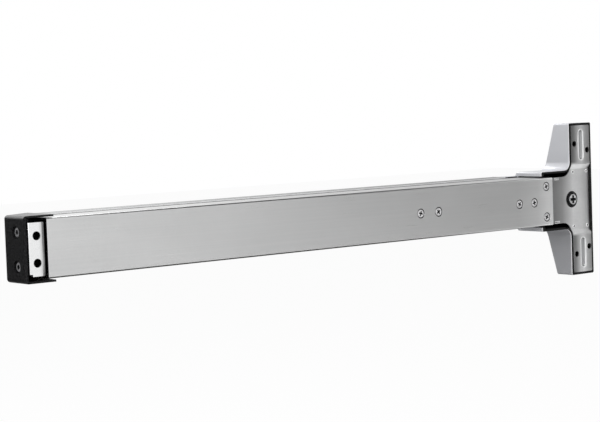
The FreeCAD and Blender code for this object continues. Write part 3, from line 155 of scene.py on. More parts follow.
# Heights between which the base plate's painted shade turns into that of its ears
EAR_FOLD = (43.0 * MM, 46.0 * MM)

# The Mix node gives mixed colours at this output, and takes them at inputs 6 and 7
MIXED_COLOUR = 2


def srgb(red, green, blue):
    """A colour as a screen shows it, from 0 to 255, as linear light, by the numbers of the sRGB standard."""
    def linear(value):
        share = value / 255
        return share / 12.92 if share <= 0.04045 else ((share + 0.055) / 1.055) ** 2.4
    return (linear(red), linear(green), linear(blue), 1.0)


class Finish:
    """A surface finish: one Principled shader and the nodes that feed it."""

    def __init__(self, name, colour, metallic, roughness):
        self.material = bpy.data.materials.new(name)
        self.material.use_nodes = True
        self.nodes = self.material.node_tree.nodes
        self.links = self.material.node_tree.links
        self.shader = self.nodes["Principled BSDF"]
        self.place = self.nodes.new("ShaderNodeTexCoord").outputs["Object"]
        self.colour = colour
        self.roughness = roughness
        self.set(**{"Base Color": colour, "Metallic": metallic, "Roughness": roughness})

    def set(self, **values):
        """Put plain values on the shader's own sockets."""
        for name, value in values.items():
            self.shader.inputs[name].default_value = value

    def wire(self, value, name):
        """Feed one of the shader's sockets."""
        self.links.new(value, self.shader.inputs[name])

    def node(self, kind, settings=None, **inputs):
        """Add a node; an input, by its name or as in _0 its number, is a plain value or another's output."""
        made = self.nodes.new("ShaderNode" + kind)
        for name, value in (settings or {}).items():
            setattr(made, name, value)
        for name, value in inputs.items():
            socket = made.inputs[int(name[1:])] if name[0] == "_" else made.inputs[name.replace("_", " ")]
            if isinstance(value, bpy.types.NodeSocket):
                self.links.new(value, socket)
            else:
                socket.default_value = value
        return made

    def stretched(self, x, y, z):
        """Object coordinates in cells per metre along each axis."""
        return self.node("Mapping", Vector=self.place, Scale=(x, y, z)).outputs["Vector"]

    def along(self, axis):
        """The place along one axis of the part, in metres."""
        return self.node("SeparateXYZ", Vector=self.place).outputs[axis]

    def noise(self, where, detail=2.0, rough=0.5, scale=1.0):
        """Soft random values from 0 to 1."""
        made = self.node("TexNoise", Vector=where, Scale=scale, Detail=detail, Roughness=rough)
        return made.outputs["Fac"]

    def cells(self, where, scale):
        """Distances inside random cells with soft walls."""
        made = self.node("TexVoronoi", {"feature": "SMOOTH_F1"}, Vector=where, Scale=scale)
        return made.outputs["Distance"]

    def span(self, value, low, high, start=0.0, end=1.0):
        """A value from start to end, drawn out from low to high."""
        made = self.node("MapRange", _0=value, _1=start, _2=end, _3=low, _4=high)
        return made.outputs["Result"]

    def uneven(self, value, swing, start=0.0, end=1.0):
        """The finish's roughness, swung up and down as a value goes from start to end."""
        return self.span(value, self.roughness - swing, self.roughness + swing, start, end)

    def sum(self, *values):
        """Several values added up."""
        total = values[0]
        for value in values[1:]:
            total = self.node("Math", {"operation": "ADD"}, _0=total, _1=value).outputs[0]
        return total

    def times(self, value, factor):
        """A value times a plain factor."""
        return self.node("Math", {"operation": "MULTIPLY"}, _0=value, _1=factor).outputs[0]

    def mixed(self, share, first, second, kind="MIX"):
        """Two colours mixed by a share."""
        made = self.node("Mix", {"data_type": "RGBA", "blend_type": kind}, _0=share, _6=first, _7=second)
        return made.outputs[MIXED_COLOUR]

    def tint(self, value, dark, light):
        """A colour between two shares of the finish's own colour."""
        def shade(share):
            return tuple(min(1.0, part * share) for part in self.colour[:3]) + (1.0,)
        return self.mixed(value, shade(dark), shade(light))

    def painted_shading(self, colour, axis, painted_shades):
        """A colour darkened by painted shade along one axis; painted_shades are pairs of a place and the
        painted shade there.
        """
        if not painted_shades:
            return colour
        (start, first_shade), *between, (end, last_shade) = painted_shades
        ramp = self.node("ValToRGB", _0=self.span(self.along(axis), 0.0, 1.0, start, end))
        stops = ramp.color_ramp.elements
        stops[0].color = (first_shade, first_shade, first_shade, 1)
        stops[1].color = (last_shade, last_shade, last_shade, 1)
        for place, shade in between:
            stops.new((place - start) / (end - start)).color = (shade, shade, shade, 1)
        return self.mixed(1.0, colour, ramp.outputs["Color"], "MULTIPLY")

    def relief(self, height, depth):
        """Relief of the surface: a height from 0 to 1 stands for depth, in metres."""
        bump = self.node("Bump", Height=height, Distance=depth)
        self.wire(bump.outputs["Normal"], "Normal")


def brushed_aluminium(name, colour, roughness, edge, painted_shades=()):
    """Extruded bar stock, brushed along its length; edge is how bright it is when seen edge on, and
    painted_shades give it painted light and shade along the bar.
    """
    finish = Finish(name, colour, metallic=1.0, roughness=roughness)
    finish.set(**{"Specular Tint": (edge, edge, edge, 1)})
    fine = finish.noise(finish.stretched(*FINE_BRUSHING), detail=3.0)
    broad = finish.noise(finish.stretched(*BROAD_BRUSHING), detail=2.0)
    cloud = finish.noise(finish.stretched(*BRUSHED_CLOUDS), detail=3.0)
    bar = finish.tint(broad, dark=0.93, light=1.07)
    # Painted light and shade along the bar, laid on the colour
    finish.wire(finish.painted_shading(bar, "X", painted_shades), "Base Color")
    streaks = finish.span(fine, low=-0.06, high=0.06, start=0.3, end=0.7)
    finish.wire(finish.sum(streaks, finish.uneven(cloud, swing=0.05)), "Roughness")
    finish.relief(finish.sum(finish.times(fine, 0.7), finish.times(broad, 0.3)), BRUSHING_DEPTH)
    return finish.material


def satin_casting(name, colour, painted_shades=()):
    """Die-cast metal with a satin, finely speckled coat; painted_shades give it painted shade from its lower
    to its upper end.
    """
    finish = Finish(name, colour, metallic=0.5, roughness=0.45)
    speckle = finish.noise(finish.place, scale=CAST_SPECKLE, detail=2.0)
    cloud = finish.noise(finish.place, scale=CAST_CLOUDS, detail=3.0)
    coat = finish.tint(finish.span(speckle, low=0.0, high=1.0, start=0.3, end=0.7), dark=0.9, light=1.08)
    finish.wire(finish.painted_shading(coat, "Z", painted_shades), "Base Color")
    finish.wire(finish.span(cloud, low=0.36, high=0.5), "Roughness")
    finish.relief(speckle, CAST_DEPTH)
    return finish.material


def zinc_plated(name, colour, roughness, painted_shades=(), ear_painted_shades=()):
    """Pressed steel sheet with a thin zinc coat; painted_shades give it painted light and shade along the
    bar, and ear_painted_shades give its two ears painted shade of their own.
    """
    finish = Finish(name, colour, metallic=1.0, roughness=roughness)
    spangle = finish.node("TexVoronoi", Vector=finish.place, Scale=ZINC_SPANGLE).outputs["Color"]
    shade = finish.node("SeparateColor", Color=spangle).outputs["Red"]
    cloud = finish.noise(finish.place, scale=ZINC_CLOUDS, detail=4.0)
    rolled = finish.noise(finish.stretched(*ZINC_ROLLING), detail=2.0)
    tone = finish.sum(finish.times(shade, 0.25), finish.times(cloud, 0.35), finish.times(rolled, 0.4))
    bare = finish.tint(tone, dark=0.9, light=1.08)
    # Painted light and shade along the bar, and on the ears painted shade of their own
    sheet = finish.painted_shading(bare, "X", painted_shades)
    if ear_painted_shades:
        height = finish.node("Math", {"operation": "ABSOLUTE"}, _0=finish.along("Z")).outputs[0]
        ears = finish.painted_shading(bare, "X", ear_painted_shades)
        sheet = finish.mixed(finish.span(height, 0.0, 1.0, *EAR_FOLD), sheet, ears)
    finish.wire(sheet, "Base Color")
    finish.wire(finish.uneven(cloud, swing=0.05, start=0.3, end=0.7), "Roughness")
    finish.relief(cloud, ZINC_DEPTH)
    return finish.material


def machined_steel(name, colour, roughness, metallic=1.0):
    """Turned or milled steel with fine tool marks."""
    finish = Finish(name, colour, metallic, roughness)
    marks = finish.noise(finish.stretched(*TOOL_MARKS), detail=2.0)
    cloud = finish.noise(finish.place, scale=STEEL_CLOUDS, detail=3.0)
    finish.wire(finish.tint(cloud, dark=0.86, light=1.1), "Base Color")
    finish.wire(finish.uneven(cloud, swing=0.07, start=0.3, end=0.7), "Roughness")
    finish.relief(marks, TOOL_MARK_DEPTH)
    return finish.material


def grained_plastic(name, colour, cell, roughness, gloss=0.22):
    """Moulded plastic with a leather-like grain of the given cell size."""
    finish = Finish(name, colour, metallic=0.0, roughness=roughness)
    finish.set(**{"Specular IOR Level": gloss})
    grain = finish.cells(finish.place, scale=1 / cell)
    dust = finish.noise(finish.place, scale=0.8 / cell, detail=4.0, rough=0.65)
    dusty = finish.span(dust, low=0.0, high=1.0, start=0.42, end=0.68)
    finish.wire(finish.tint(dusty, dark=0.35, light=5.0), "Base Color")
    finish.wire(finish.span(dust, roughness - 0.08, roughness + 0.1, start=0.3, end=0.7), "Roughness")
    finish.relief(finish.sum(finish.times(grain, 0.7), finish.times(dust, 0.3)), GRAIN_DEPTH)
    return finish.material


def moulded_rubber(name, colour):
    """Matt rubber with a dusty bloom."""
    finish = Finish(name, colour, metallic=0.0, roughness=0.8)
    bloom = finish.noise(finish.place, scale=RUBBER_BLOOM, detail=4.0)
    finish.wire(finish.tint(bloom, dark=0.8, light=1.5), "Base Color")
    finish.wire(finish.span(bloom, low=0.7, high=0.92), "Roughness")
    finish.relief(bloom, RUBBER_DEPTH)
    return finish.material


FINISHES = {
    # The channel starts near white, and its painted light and shade bring it down
    "channel_aluminium": brushed_aluminium("brushed channel aluminium", srgb(253, 254, 254),
                                           roughness=0.34, edge=0.72, painted_shades=CHANNEL_PAINTED_SHADES),
    "pad_aluminium": brushed_aluminium("brushed pad aluminium", srgb(190, 191, 191),
                                       roughness=0.45, edge=0.48),
    "cast_cover": satin_casting("satin cast cover", srgb(217, 218, 222), COVER_PAINTED_SHADES),
    "zinc_steel": zinc_plated("zinc plated steel", srgb(186, 187, 188), roughness=0.36),
    # The base plate starts near white, and its painted light and shade bring it down
    "plate_zinc": zinc_plated("zinc plated base plate", srgb(250, 251, 252),
                              roughness=0.36, painted_shades=PLATE_PAINTED_SHADES, ear_painted_shades=EAR_PAINTED_SHADES),
    "bare_steel": machined_steel("bare steel", srgb(150, 149, 147), roughness=0.36),
    "bolt_steel": machined_steel("polished bolt steel", srgb(196, 197, 198), roughness=0.2),
    "hub_metal": zinc_plated("die cast hub zinc", srgb(188, 188, 190), roughness=0.3),
    "spring_steel": machined_steel("spring wire", srgb(140, 140, 142), roughness=0.28),
    "screw_steel": machined_steel("bright screw steel", srgb(236, 236, 237), roughness=0.3, metallic=0.6),
    "cap_screw_steel": machined_steel("dark screw steel", srgb(150, 150, 152), roughness=0.4, metallic=0.3),
    # The bracket starts near white, and its painted shadow darkens the bend
    "end_bracket_steel": zinc_plated("bright zinc bracket steel", srgb(250, 251, 252),
                                     roughness=0.26, painted_shades=BRACKET_PAINTED_SHADOW),
    # Painted shade: the casting's hollow, rear rim and far wall made black as if in shadow
    "cover_inside_painted_shade": grained_plastic("black painted shade inside the casting", srgb(18, 18, 18),
                                    cell=1.5 * MM, roughness=0.7),
    # Painted highlight on the casting's broken rear edges
    "cover_edge_highlight": satin_casting("painted highlight on the casting's edge", srgb(236, 236, 238)),
    "cut_aluminium": machined_steel("sawn aluminium edge", srgb(236, 237, 238), roughness=0.3),
    # Bright zinc for the hub, also used as a painted highlight on the sheet parts' broken edges and the hub's
    # rims
    "zinc_and_edge_highlight": machined_steel("bright zinc with painted edge highlight", srgb(240, 241, 242), roughness=0.3),
    # Painted highlight: a bright, mostly matt white for slot beads and slot edges, rivet rims, lance lips and
    # the pad's rear faces
    "painted_highlight_rim": machined_steel("bright rim of painted highlight", srgb(250, 251, 252), roughness=0.42, metallic=0.25),
    # Painted shade in the recesses of the screws
    "recess_painted_shade": machined_steel("painted shade in screw recesses", srgb(58, 58, 60), roughness=0.5),
    # Black nylon of the hub's bearing, also used as painted shade in the hub's socket and window rim, the
    # rivets' bores and the screws' countersink gaps
    "bearing_nylon": grained_plastic("black bearing nylon and painted shade", srgb(26, 26, 27), cell=0.8 * MM, roughness=0.55),
    "cap_inside": grained_plastic("black inside of the end cap", srgb(17, 17, 18),
                                  cell=1.4 * MM, roughness=0.6, gloss=0.15),
    "black_plastic": grained_plastic("black grained plastic", srgb(15, 15, 16),
                                     cell=1.4 * MM, roughness=0.32, gloss=0.8),
    "pad_cap_plastic": grained_plastic("charcoal plastic", srgb(46, 46, 48), cell=0.8 * MM, roughness=0.45),
    "bumper_rubber": moulded_rubber("black rubber", srgb(28, 28, 28)),
}

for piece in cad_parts.values():
    for holder in piece.material_slots:
        holder.material = FINISHES[holder.material.name]


# ---- Workshop: what the modelled pieces are made with ----

def linked(name, data):
    """A new object in the scene."""
    made = bpy.data.objects.new(name, data)
    bpy.context.scene.collection.objects.link(made)
    return made


def meshed(name, shape):
    """A finished shape as a mesh."""
    mesh = bpy.data.meshes.new(name)
    shape.to_mesh(mesh)
    shape.free()
    return mesh


def finished(name, shape, finishes, body="housing", sharp=SHARP_ANGLE):
    """Turn a modelled shape into a piece that rides on a body."""
    for face in shape.faces:
        face.smooth = face.calc_area() < WIDE_FACE * max(edge.calc_length() for edge in face.edges)
    for edge in shape.edges:
        edge.smooth = edge.calc_face_angle(0.0) < sharp
    mesh = meshed(name, shape)
    for finish in finishes:
        mesh.materials.append(FINISHES[finish])
    made = linked(name, mesh)
    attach(made, body)
    return made


def copied(node):
    """A CAD node's shape, its loose triangles joined up into whole faces."""
    shape = bmesh.new()
    shape.from_mesh(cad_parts[node].data)
    bmesh.ops.remove_doubles(shape, verts=shape.verts, dist=CAD_MERGE)
    bmesh.ops.dissolve_limit(shape, angle_limit=FLAT_ANGLE, verts=shape.verts, edges=shape.edges)
    return shape


def gathered(shapes, places=None):
    """Several shapes in one, each moved to its place, or left where it is."""
    whole = bmesh.new()
    for shape, place in zip(shapes, places or [Matrix.Identity(4)] * len(shapes)):
        bmesh.ops.transform(shape, matrix=place, verts=shape.verts)
        held = meshed("held", shape)
        whole.from_mesh(held)
        bpy.data.meshes.remove(held)
    return whole


def hidden_faces(shape):
    """The faces that look at another face of the same shape."""
    tree = BVHTree.FromBMesh(shape)
    starts = {face: face.calc_center_median() + face.normal * SMALL for face in shape.faces}
    return {face for face, start in starts.items() if tree.ray_cast(start, face.normal)[0] is not None}


def break_edges(shape, edges, width, finish_index, clamp=True):
    """Break sharp edges by a small width, and give the broken edges their own finish."""
    edges = [edge for edge in edges if edge.is_valid]
    made = bmesh.ops.bevel(shape, geom=edges, offset=width, offset_type="OFFSET", segments=2, profile=0.5,
                           affect="EDGES", clamp_overlap=clamp, material=-1)
    for face in made["faces"]:
        face.material_index = finish_index


def broken_bar(size, place, width):
    """A small bar of the given size at a place, its edges broken by a width."""
    shape = bmesh.new()
    bmesh.ops.create_cube(shape, size=1.0)
    bmesh.ops.scale(shape, vec=size, verts=shape.verts)
    break_edges(shape, shape.edges, width, finish_index=0, clamp=False)
    bmesh.ops.translate(shape, vec=place, verts=shape.verts)
    return shape


TURN_STEPS = 40


def outline(points, shift=0.0):
    """An outline to turn: radii and heights in millimetres as metres, moved along the axis."""
    return [(radius * MM, height * MM + shift) for radius, height in points]


def turned(shape, points, steps=TURN_STEPS):
    """Turn an outline of radii and heights round the upright axis; gives its open rim."""
    verts = [shape.verts.new((radius, 0.0, height)) for radius, height in points]
    lines = [shape.edges.new(pair) for pair in zip(verts, verts[1:])]
    bmesh.ops.spin(shape, geom=verts + lines, cent=(0, 0, 0), axis=(0, 0, 1), angle=math.tau, steps=steps,
                   use_merge=True)
    bmesh.ops.remove_doubles(shape, verts=shape.verts, dist=SEAM_MERGE)
    return [edge for edge in shape.edges if edge.is_boundary]


def turned_solid(points, steps=TURN_STEPS):
    """A shape turned all round, with its faces outwards."""
    shape = bmesh.new()
    turned(shape, points, steps)
    bmesh.ops.recalc_face_normals(shape, faces=shape.faces)
    return shape


def points_of(parts):
    """The points among the parts that a step made."""
    return [part for part in parts if isinstance(part, bmesh.types.BMVert)]


def edges_among(shape, points):
    """The edges that run between some of a shape's points."""
    ring = set(points)
    return [edge for edge in shape.edges if set(edge.verts) <= ring]


def drawn_out(shape, edges):
    """A second ring of edges joined to a first, still in the same place; gives its points and edges."""
    points = points_of(bmesh.ops.extrude_edge_only(shape, edges=edges)["geom"])
    return points, edges_among(shape, points)


def cross_outline(shape, length, width):
    """The outline of a cross, flat at height nought, as a ring of edges."""
    half, arm = width / 2, length / 2
    corners = (Vector((arm, -half, 0.0)), Vector((arm, half, 0.0)), Vector((half, half, 0.0)))
    points = []
    for quarter in range(4):
        turn = Matrix.Rotation(quarter * math.tau / 4, 3, "Z")
        points += [shape.verts.new(turn @ corner) for corner in corners]
    return [shape.edges.new(pair) for pair in zip(points, points[1:] + points[:1])]


def hexagon_outline(shape, across):
    """The outline of a hexagon, flat at height nought, as a ring of edges."""
    made = bmesh.ops.create_circle(shape, segments=6, radius=across / 2 / math.cos(math.tau / 12))
    return edges_among(shape, made["verts"])


def screw(points, size, depth, taper, arm=None):
    """A screw that faces up; its recess is a hexagon, or a cross where its arms are given a width."""
    shape = bmesh.new()
    rim = turned(shape, points)
    ring = cross_outline(shape, size, arm) if arm else hexagon_outline(shape, size)
    floor, bottom = drawn_out(shape, ring)
    bmesh.ops.translate(shape, vec=(0, 0, -depth), verts=floor)
    bmesh.ops.scale(shape, vec=(taper, taper, 1), verts=floor)
    bmesh.ops.edgeloop_fill(shape, edges=bottom)
    bmesh.ops.triangle_fill(shape, use_beauty=True, edges=rim + ring, normal=(0, 0, 1))
    bmesh.ops.recalc_face_normals(shape, faces=shape.faces)
    # Index 1 marks the recess, which the callers paint dark as shade
    for face in shape.faces:
        middle = face.calc_center_median()
        face.material_index = int(middle.xy.length < size / 2 and -depth - SMALL < middle.z < -SMALL)
    return shape


WIRE_SIDES = 8
COIL_STEPS = 20


def coil(radius, wire, length, turns):
    """A spring wound upwards from height nought, with its ends closed."""
    shape = bmesh.new()
    ring = bmesh.ops.create_circle(shape, segments=WIRE_SIDES, radius=wire / 2)["verts"]
    bmesh.ops.rotate(shape, cent=(0, 0, 0), matrix=Matrix.Rotation(math.tau / 4, 3, "X"), verts=ring)
    bmesh.ops.translate(shape, vec=(radius - wire / 2, 0, wire / 2), verts=ring)
    start = list(shape.edges)
    steps = turns * COIL_STEPS
    made = bmesh.ops.spin(shape, geom=ring + start, cent=(0, 0, 0), axis=(0, 0, 1), angle=turns * math.tau,
                          dvec=(0, 0, (length - wire) / steps), steps=steps)
    end = [part for part in made["geom_last"] if isinstance(part, bmesh.types.BMEdge)]
    bmesh.ops.edgeloop_fill(shape, edges=start)
    bmesh.ops.edgeloop_fill(shape, edges=end)
    bmesh.ops.recalc_face_normals(shape, faces=shape.faces)
    return shape


BEAD_SIDES = 12
BEAD_STEPS = 16


def slot_bead(low, high):
    """A round bead that runs once round an upright slot, flush with the plate's rear."""
    shape = bmesh.new()
    ring = bmesh.ops.create_circle(shape, segments=BEAD_SIDES, radius=SLOT_BEAD)["verts"]
    bmesh.ops.translate(shape, vec=(SLOT_RADIUS + SLOT_BEAD, -SLOT_BEAD, low), verts=ring)
    edges = list(shape.edges)
    for centre, rise in ((high, high - low), (low, low - high)):
        moved, edges = drawn_out(shape, edges)
        bmesh.ops.translate(shape, vec=(0, 0, rise), verts=moved)
        made = bmesh.ops.spin(shape, geom=moved + edges, cent=(0, -SLOT_BEAD, centre), axis=(0, -1, 0),
                              angle=math.pi, steps=BEAD_STEPS)
        edges = edges_among(shape, points_of(made["geom_last"]))
    bmesh.ops.remove_doubles(shape, verts=shape.verts, dist=BEAD_MERGE)
    bmesh.ops.recalc_face_normals(shape, faces=shape.faces)
    return shape


# ---- The head's casting and the extrusions ----

COVER_WALL = 2.4 * MM
COVER_SEAT = 5.0 * MM
COVER_EDGE_BREAK = 0.6 * MM
CHANNEL_EDGE_BREAK = 0.4 * MM


def head_cover():
    """The cast cover, satin outside, with black painted shade inside and on its rear rim."""
    shape = copied("head_cover")
    low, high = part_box("head_cover")
    hidden = hidden_faces(shape)
    for face in shape.faces:
        middle = face.calc_center_median()
        latch_window = middle.x < low.x + COVER_WALL - SMALL
        screw_seat = middle.y < low.y + COVER_WALL - SMALL and abs(middle.z) < COVER_SEAT
        rear = face.normal.y > FACING
        far_wall = face.normal.x > SQUARE and middle.x < low.x + COVER_WALL * 2
        inside = face in hidden and not latch_window and not screw_seat
        # Hollow faces, rear faces and the far wall take black painted shade
        face.material_index = int(rear or far_wall or inside)
    rear_edges = []
    for edge in shape.edges:
        if len(edge.link_faces) == 2 and all(abs(vert.co.y - high.y) < SMALL for vert in edge.verts):
            kinds = sorted(face.material_index for face in edge.link_faces)
            outside = [face for face in edge.link_faces if face.material_index == 0]
            if kinds == [0, 1] and outside[0].normal.x > LEANING:
                rear_edges.append(edge)
    # The outside's rear edges are broken and given a bright painted highlight
    break_edges(shape, rear_edges, COVER_EDGE_BREAK, finish_index=2, clamp=False)
    made = finished("cover_casting", shape, ["cast_cover", "cover_inside_painted_shade", "cover_edge_highlight"])
    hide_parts("head_cover")


def bar_channel():
    """The extruded channel, its sawn ends broken to a bright edge."""
    shape = copied("housing_channel")
    low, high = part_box("housing_channel")
    ends = []
    for edge in shape.edges:
        at_end = any(all(abs(vert.co.x - x) < SMALL for vert in edge.verts) for x in (low.x, high.x))
        if at_end and edge.calc_face_angle(0.0) > SAWN_ANGLE:
            ends.append(edge)
    break_edges(shape, ends, CHANNEL_EDGE_BREAK, finish_index=1)
    made = finished("bar_channel", shape, ["channel_aluminium", "cut_aluminium"], sharp=CHANNEL_SHARP_ANGLE)
    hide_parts("housing_channel")


def pad_shell():
    """The touch pad's shell, its rear faces in a bright painted light in place of the darker reflection they
    would show.
    """
    shape = copied("touch_pad")
    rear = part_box("touch_pad")[1].y
    for face in shape.faces:
        # The rear faces take a bright painted light
        face.material_index = int(abs(face.calc_center_median().y - rear) < SMALL)
    made = finished("pad_shell", shape, ["pad_aluminium", "painted_highlight_rim"], "push_pad")
    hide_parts("touch_pad")


# ---- Pressed sheet, and what is fixed in it ----

WINDOW_RADIUS = 9.3 * MM
PLATE_EDGE_BREAK = 0.3 * MM
BRACKET_EDGE_BREAK = 0.2 * MM
SLOT_EDGE_BREAK = 0.6 * MM
WINDOW_SINK = 0.9 * MM
# The edges of a slot's stepped opening lie this near to its middle line
SLOT_EDGE_REACH = 4.9 * MM


def sheet_part(node, name, finish, width):
    """A pressed sheet part: its rear edges and holes broken and given a bright painted highlight, its slots a
    brighter painted highlight, and the hub's window rimmed with black painted shade.
    """
    shape = copied(node)
    rims = []
    slots = []
    window = []
    for edge in shape.edges:
        if edge.calc_face_angle(0.0) > RIM_ANGLE and any(face.normal.y > FACING for face in edge.link_faces):
            middle = (edge.verts[0].co + edge.verts[1].co) / 2
            past_straight = max(0.0, abs(abs(middle.z) - SLOT_HEIGHT) - SLOT_REACH)
            from_slot = Vector((middle.x, past_straight)).length
            from_hub = Vector((middle.x - HUB_SIDE, middle.z)).length
            if node == "base_plate" and from_slot < SLOT_EDGE_REACH:
                slots.append(edge)
            elif node == "base_plate" and from_hub < WINDOW_RADIUS + SMALL:
                window.append(edge)
            else:
                rims.append(edge)
    break_edges(shape, rims, width, finish_index=1)
    break_edges(shape, slots, SLOT_EDGE_BREAK, finish_index=2)
    # The hub's window is rimmed in black, a painted shade round the hub
    break_edges(shape, window, WINDOW_SINK, finish_index=3)
    made = finished(name, shape, [finish, "zinc_and_edge_highlight", "painted_highlight_rim", "bearing_nylon"])
    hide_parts(node)


HUB_RADIUS = 6.3 * MM
HUB_RIM_SLACK = 0.1 * MM
HUB_SOCKET_DEPTH = 6.0 * MM
HUB_SOCKET_BREAK = 0.6 * MM
HUB_EDGE_BREAK = 0.5 * MM


def trim_hub():
    """The outside trim's hub in bright zinc, its barrel's edge given a painted highlight and its cross socket
    black painted shade.
    """
    shape = copied("trim_hub")
    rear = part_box("trim_hub")[1].y
    rims = []
    socket = []
    for face in shape.faces:
        middle = face.calc_center_median()
        # Faces inside the cross socket take black, painted shade in the recess
        face.material_index = int(rear - HUB_SOCKET_DEPTH - SMALL < middle.y < rear - SMALL)
    for edge in shape.edges:
        at_rear = all(abs(vert.co.y - rear) < SMALL for vert in edge.verts)
        if at_rear and edge.calc_face_angle(0.0) > RIM_ANGLE:
            reach = max(Vector((vert.co.x - HUB_SIDE, vert.co.z)).length for vert in edge.verts)
            (rims if reach > HUB_RADIUS - HUB_RIM_SLACK else socket).append(edge)
    break_edges(shape, socket, HUB_SOCKET_BREAK, finish_index=1)
    break_edges(shape, rims, HUB_EDGE_BREAK, finish_index=2)
    made = finished("hub_casting", shape, ["zinc_and_edge_highlight", "bearing_nylon", "zinc_and_edge_highlight"], "hub")
    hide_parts("trim_hub")


RIVET_SPOTS = tuple((x * MM, z * MM) for z in (33.8, -33.8) for x in (-11.0, 13.6))
RIVET_STEPS = 28
# Within this radius and depth the bore is painted black as shade
RIVET_DARK_RADIUS = 1.15 * MM
RIVET_DARK_DEPTH = 1.7 * MM
# Radii and heights in millimetres: the rolled head from its bore to the shank, then the tail back to the axis
RIVET_HEAD = ((0, -1.6), (1.1, -1.6), (1.1, -0.2), (1.4, 0), (2.0, 0), (2.3, -0.35), (2.3, -0.5), (1.5, -0.5))
RIVET_TAIL = ((1.5, 0.5), (2.3, 0.5), (2.3, 0.3), (1.8, 0), (0, 0))


def plate_rivets():
    """Four hollow rivets through the plate's middle: rims in a bright painted highlight round bores painted
    black as shade.
    """
    low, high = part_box("frame_rivets")
    length = high.y - low.y
    shapes = []
    for _ in RIVET_SPOTS:
        shape = turned_solid(outline(RIVET_HEAD) + outline(RIVET_TAIL, -length), RIVET_STEPS)
        for face in shape.faces:
            middle = face.calc_center_median()
            face.material_index = int(middle.xy.length < RIVET_DARK_RADIUS and middle.z > -RIVET_DARK_DEPTH)
        shapes.append(shape)
    places = [Matrix.Translation((x, high.y, z)) @ TOWARDS_DOOR for x, z in RIVET_SPOTS]
    made = finished("hollow_rivets", gathered(shapes, places), ["painted_highlight_rim", "bearing_nylon"])
    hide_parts("frame_rivets")


LANCE_SIDE = 43.5 * MM
LANCE_HEIGHT = 26.6 * MM
LIP_SIZE = (8.4 * MM, 0.9 * MM, 0.8 * MM)
LIP_OFFSET = 0.95 * MM
LIP_DEPTH = 0.1 * MM - CHANNEL_WALL
LIP_EDGE_BREAK = 0.2 * MM


def lance_tabs():
    """The lip that each lanced slit of the plate turns up on both of its long sides, in a bright painted
    highlight.
    """
    heights = [side * LANCE_HEIGHT + lip * LIP_OFFSET for side in (1, -1) for lip in (1, -1)]
    tabs = [broken_bar(LIP_SIZE, (LANCE_SIDE, LIP_DEPTH, height), LIP_EDGE_BREAK) for height in heights]
    made = finished("lance_lips", gathered(tabs), ["painted_highlight_rim"])


STRIP_SIZE = (11.0 * MM, 0.8 * MM, 42.0 * MM)
STRIP_DEPTH = -PLATE_THICKNESS - STRIP_SIZE[1] / 2
STRIP_EDGE_BREAK = 0.25 * MM


def slot_rims():
    """A round bead in a bright painted highlight round each mounting slot, and the keeper strip behind it."""
    beads = []
    strips = []
    for middle in (SLOT_HEIGHT, -SLOT_HEIGHT):
        beads.append(slot_bead(middle - SLOT_REACH, middle + SLOT_REACH))
        strips.append(broken_bar(STRIP_SIZE, (0, STRIP_DEPTH, middle), STRIP_EDGE_BREAK))
    made = finished("slot_beads", gathered(beads), ["painted_highlight_rim"])
    made = finished("slot_strips", gathered(strips), ["zinc_steel"])


# ---- Screws and end cap ----

CHANNEL_SCREW_SPOTS = (
    (85.8 * MM, 0.0), (111.6 * MM, 0.0), (246.2 * MM, 0.0), (274.4 * MM, 0.0),
    (64.3 * MM, 18.65 * MM), (64.3 * MM, -18.65 * MM),
)
# How far each screw happened to be turned when it was driven, in degrees
CHANNEL_SCREW_TURNS = (12.0, 58.0, 33.0, 75.0, 20.0, 64.0)
COVER_SCREW_TURNS = (33.0, 75.0)
SCREW_SINK = 0.15 * MM
CROSS_TAPER = 0.72
# Length, depth and arm width of the cross recesses
CHANNEL_CROSS = (5.8 * MM, 1.6 * MM, 1.7 * MM)
COVER_CROSS = (4.8 * MM, 1.5 * MM, 1.1 * MM)
# Radii and heights in millimetres, from the tip to the face
CHANNEL_SCREW = (
    (0, -6.5), (2.5, -6.5), (2.9, -6.0), (2.9, -2.6), (3.3, -1.9), (4.55, -0.6), (4.6, -0.2), (4.3, 0),
)
# A black ring of painted shade in the gap between each channel screw's head and its countersink: radii and
# heights in millimetres
SCREW_GAP_SHADE = ((4.5, -1.1), (5.66, -0.1), (5.3, -0.15), (4.5, -1.1))
COVER_SCREW = ((0, -10.0), (1.7, -10.0), (2.0, -9.6), (2.0, -2.2), (4.0, -0.35), (4.1, -0.15), (3.85, 0))


def cross_screw(points, cross, turn, place, facing):
    """A cross-recess screw and its place, turned as it was driven."""
    length, depth, arm = cross
    shape = screw(outline(points), length, depth, CROSS_TAPER, arm)
    driven = Matrix.Rotation(math.radians(turn), 4, "Y")
    return shape, Matrix.Translation(place) @ driven @ facing


def channel_screws():
    """Six countersunk screws in the channel's back, each ringed by black painted shade in the gap round its
    head.
    """
    screws = [cross_screw(CHANNEL_SCREW, CHANNEL_CROSS, turn, (x, -SCREW_SINK, z), TOWARDS_DOOR)
              for (x, z), turn in zip(CHANNEL_SCREW_SPOTS, CHANNEL_SCREW_TURNS)]
    shapes, places = zip(*screws)
    made = finished("countersunk_screws", gathered(shapes, places), ["screw_steel", "recess_painted_shade"])
    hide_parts("channel_screws")
    gap_shades = [turned_solid(outline(SCREW_GAP_SHADE)) for _ in CHANNEL_SCREW_SPOTS]
    places = [Matrix.Translation((x, 0, z)) @ TOWARDS_DOOR for x, z in CHANNEL_SCREW_SPOTS]
    made = finished("countersink_gap_shade", gathered(gap_shades, places), ["bearing_nylon"])


COVER_SCREW_SIDES = (4.0 * MM, 40.0 * MM)
COVER_SCREW_SINK = 0.1 * MM


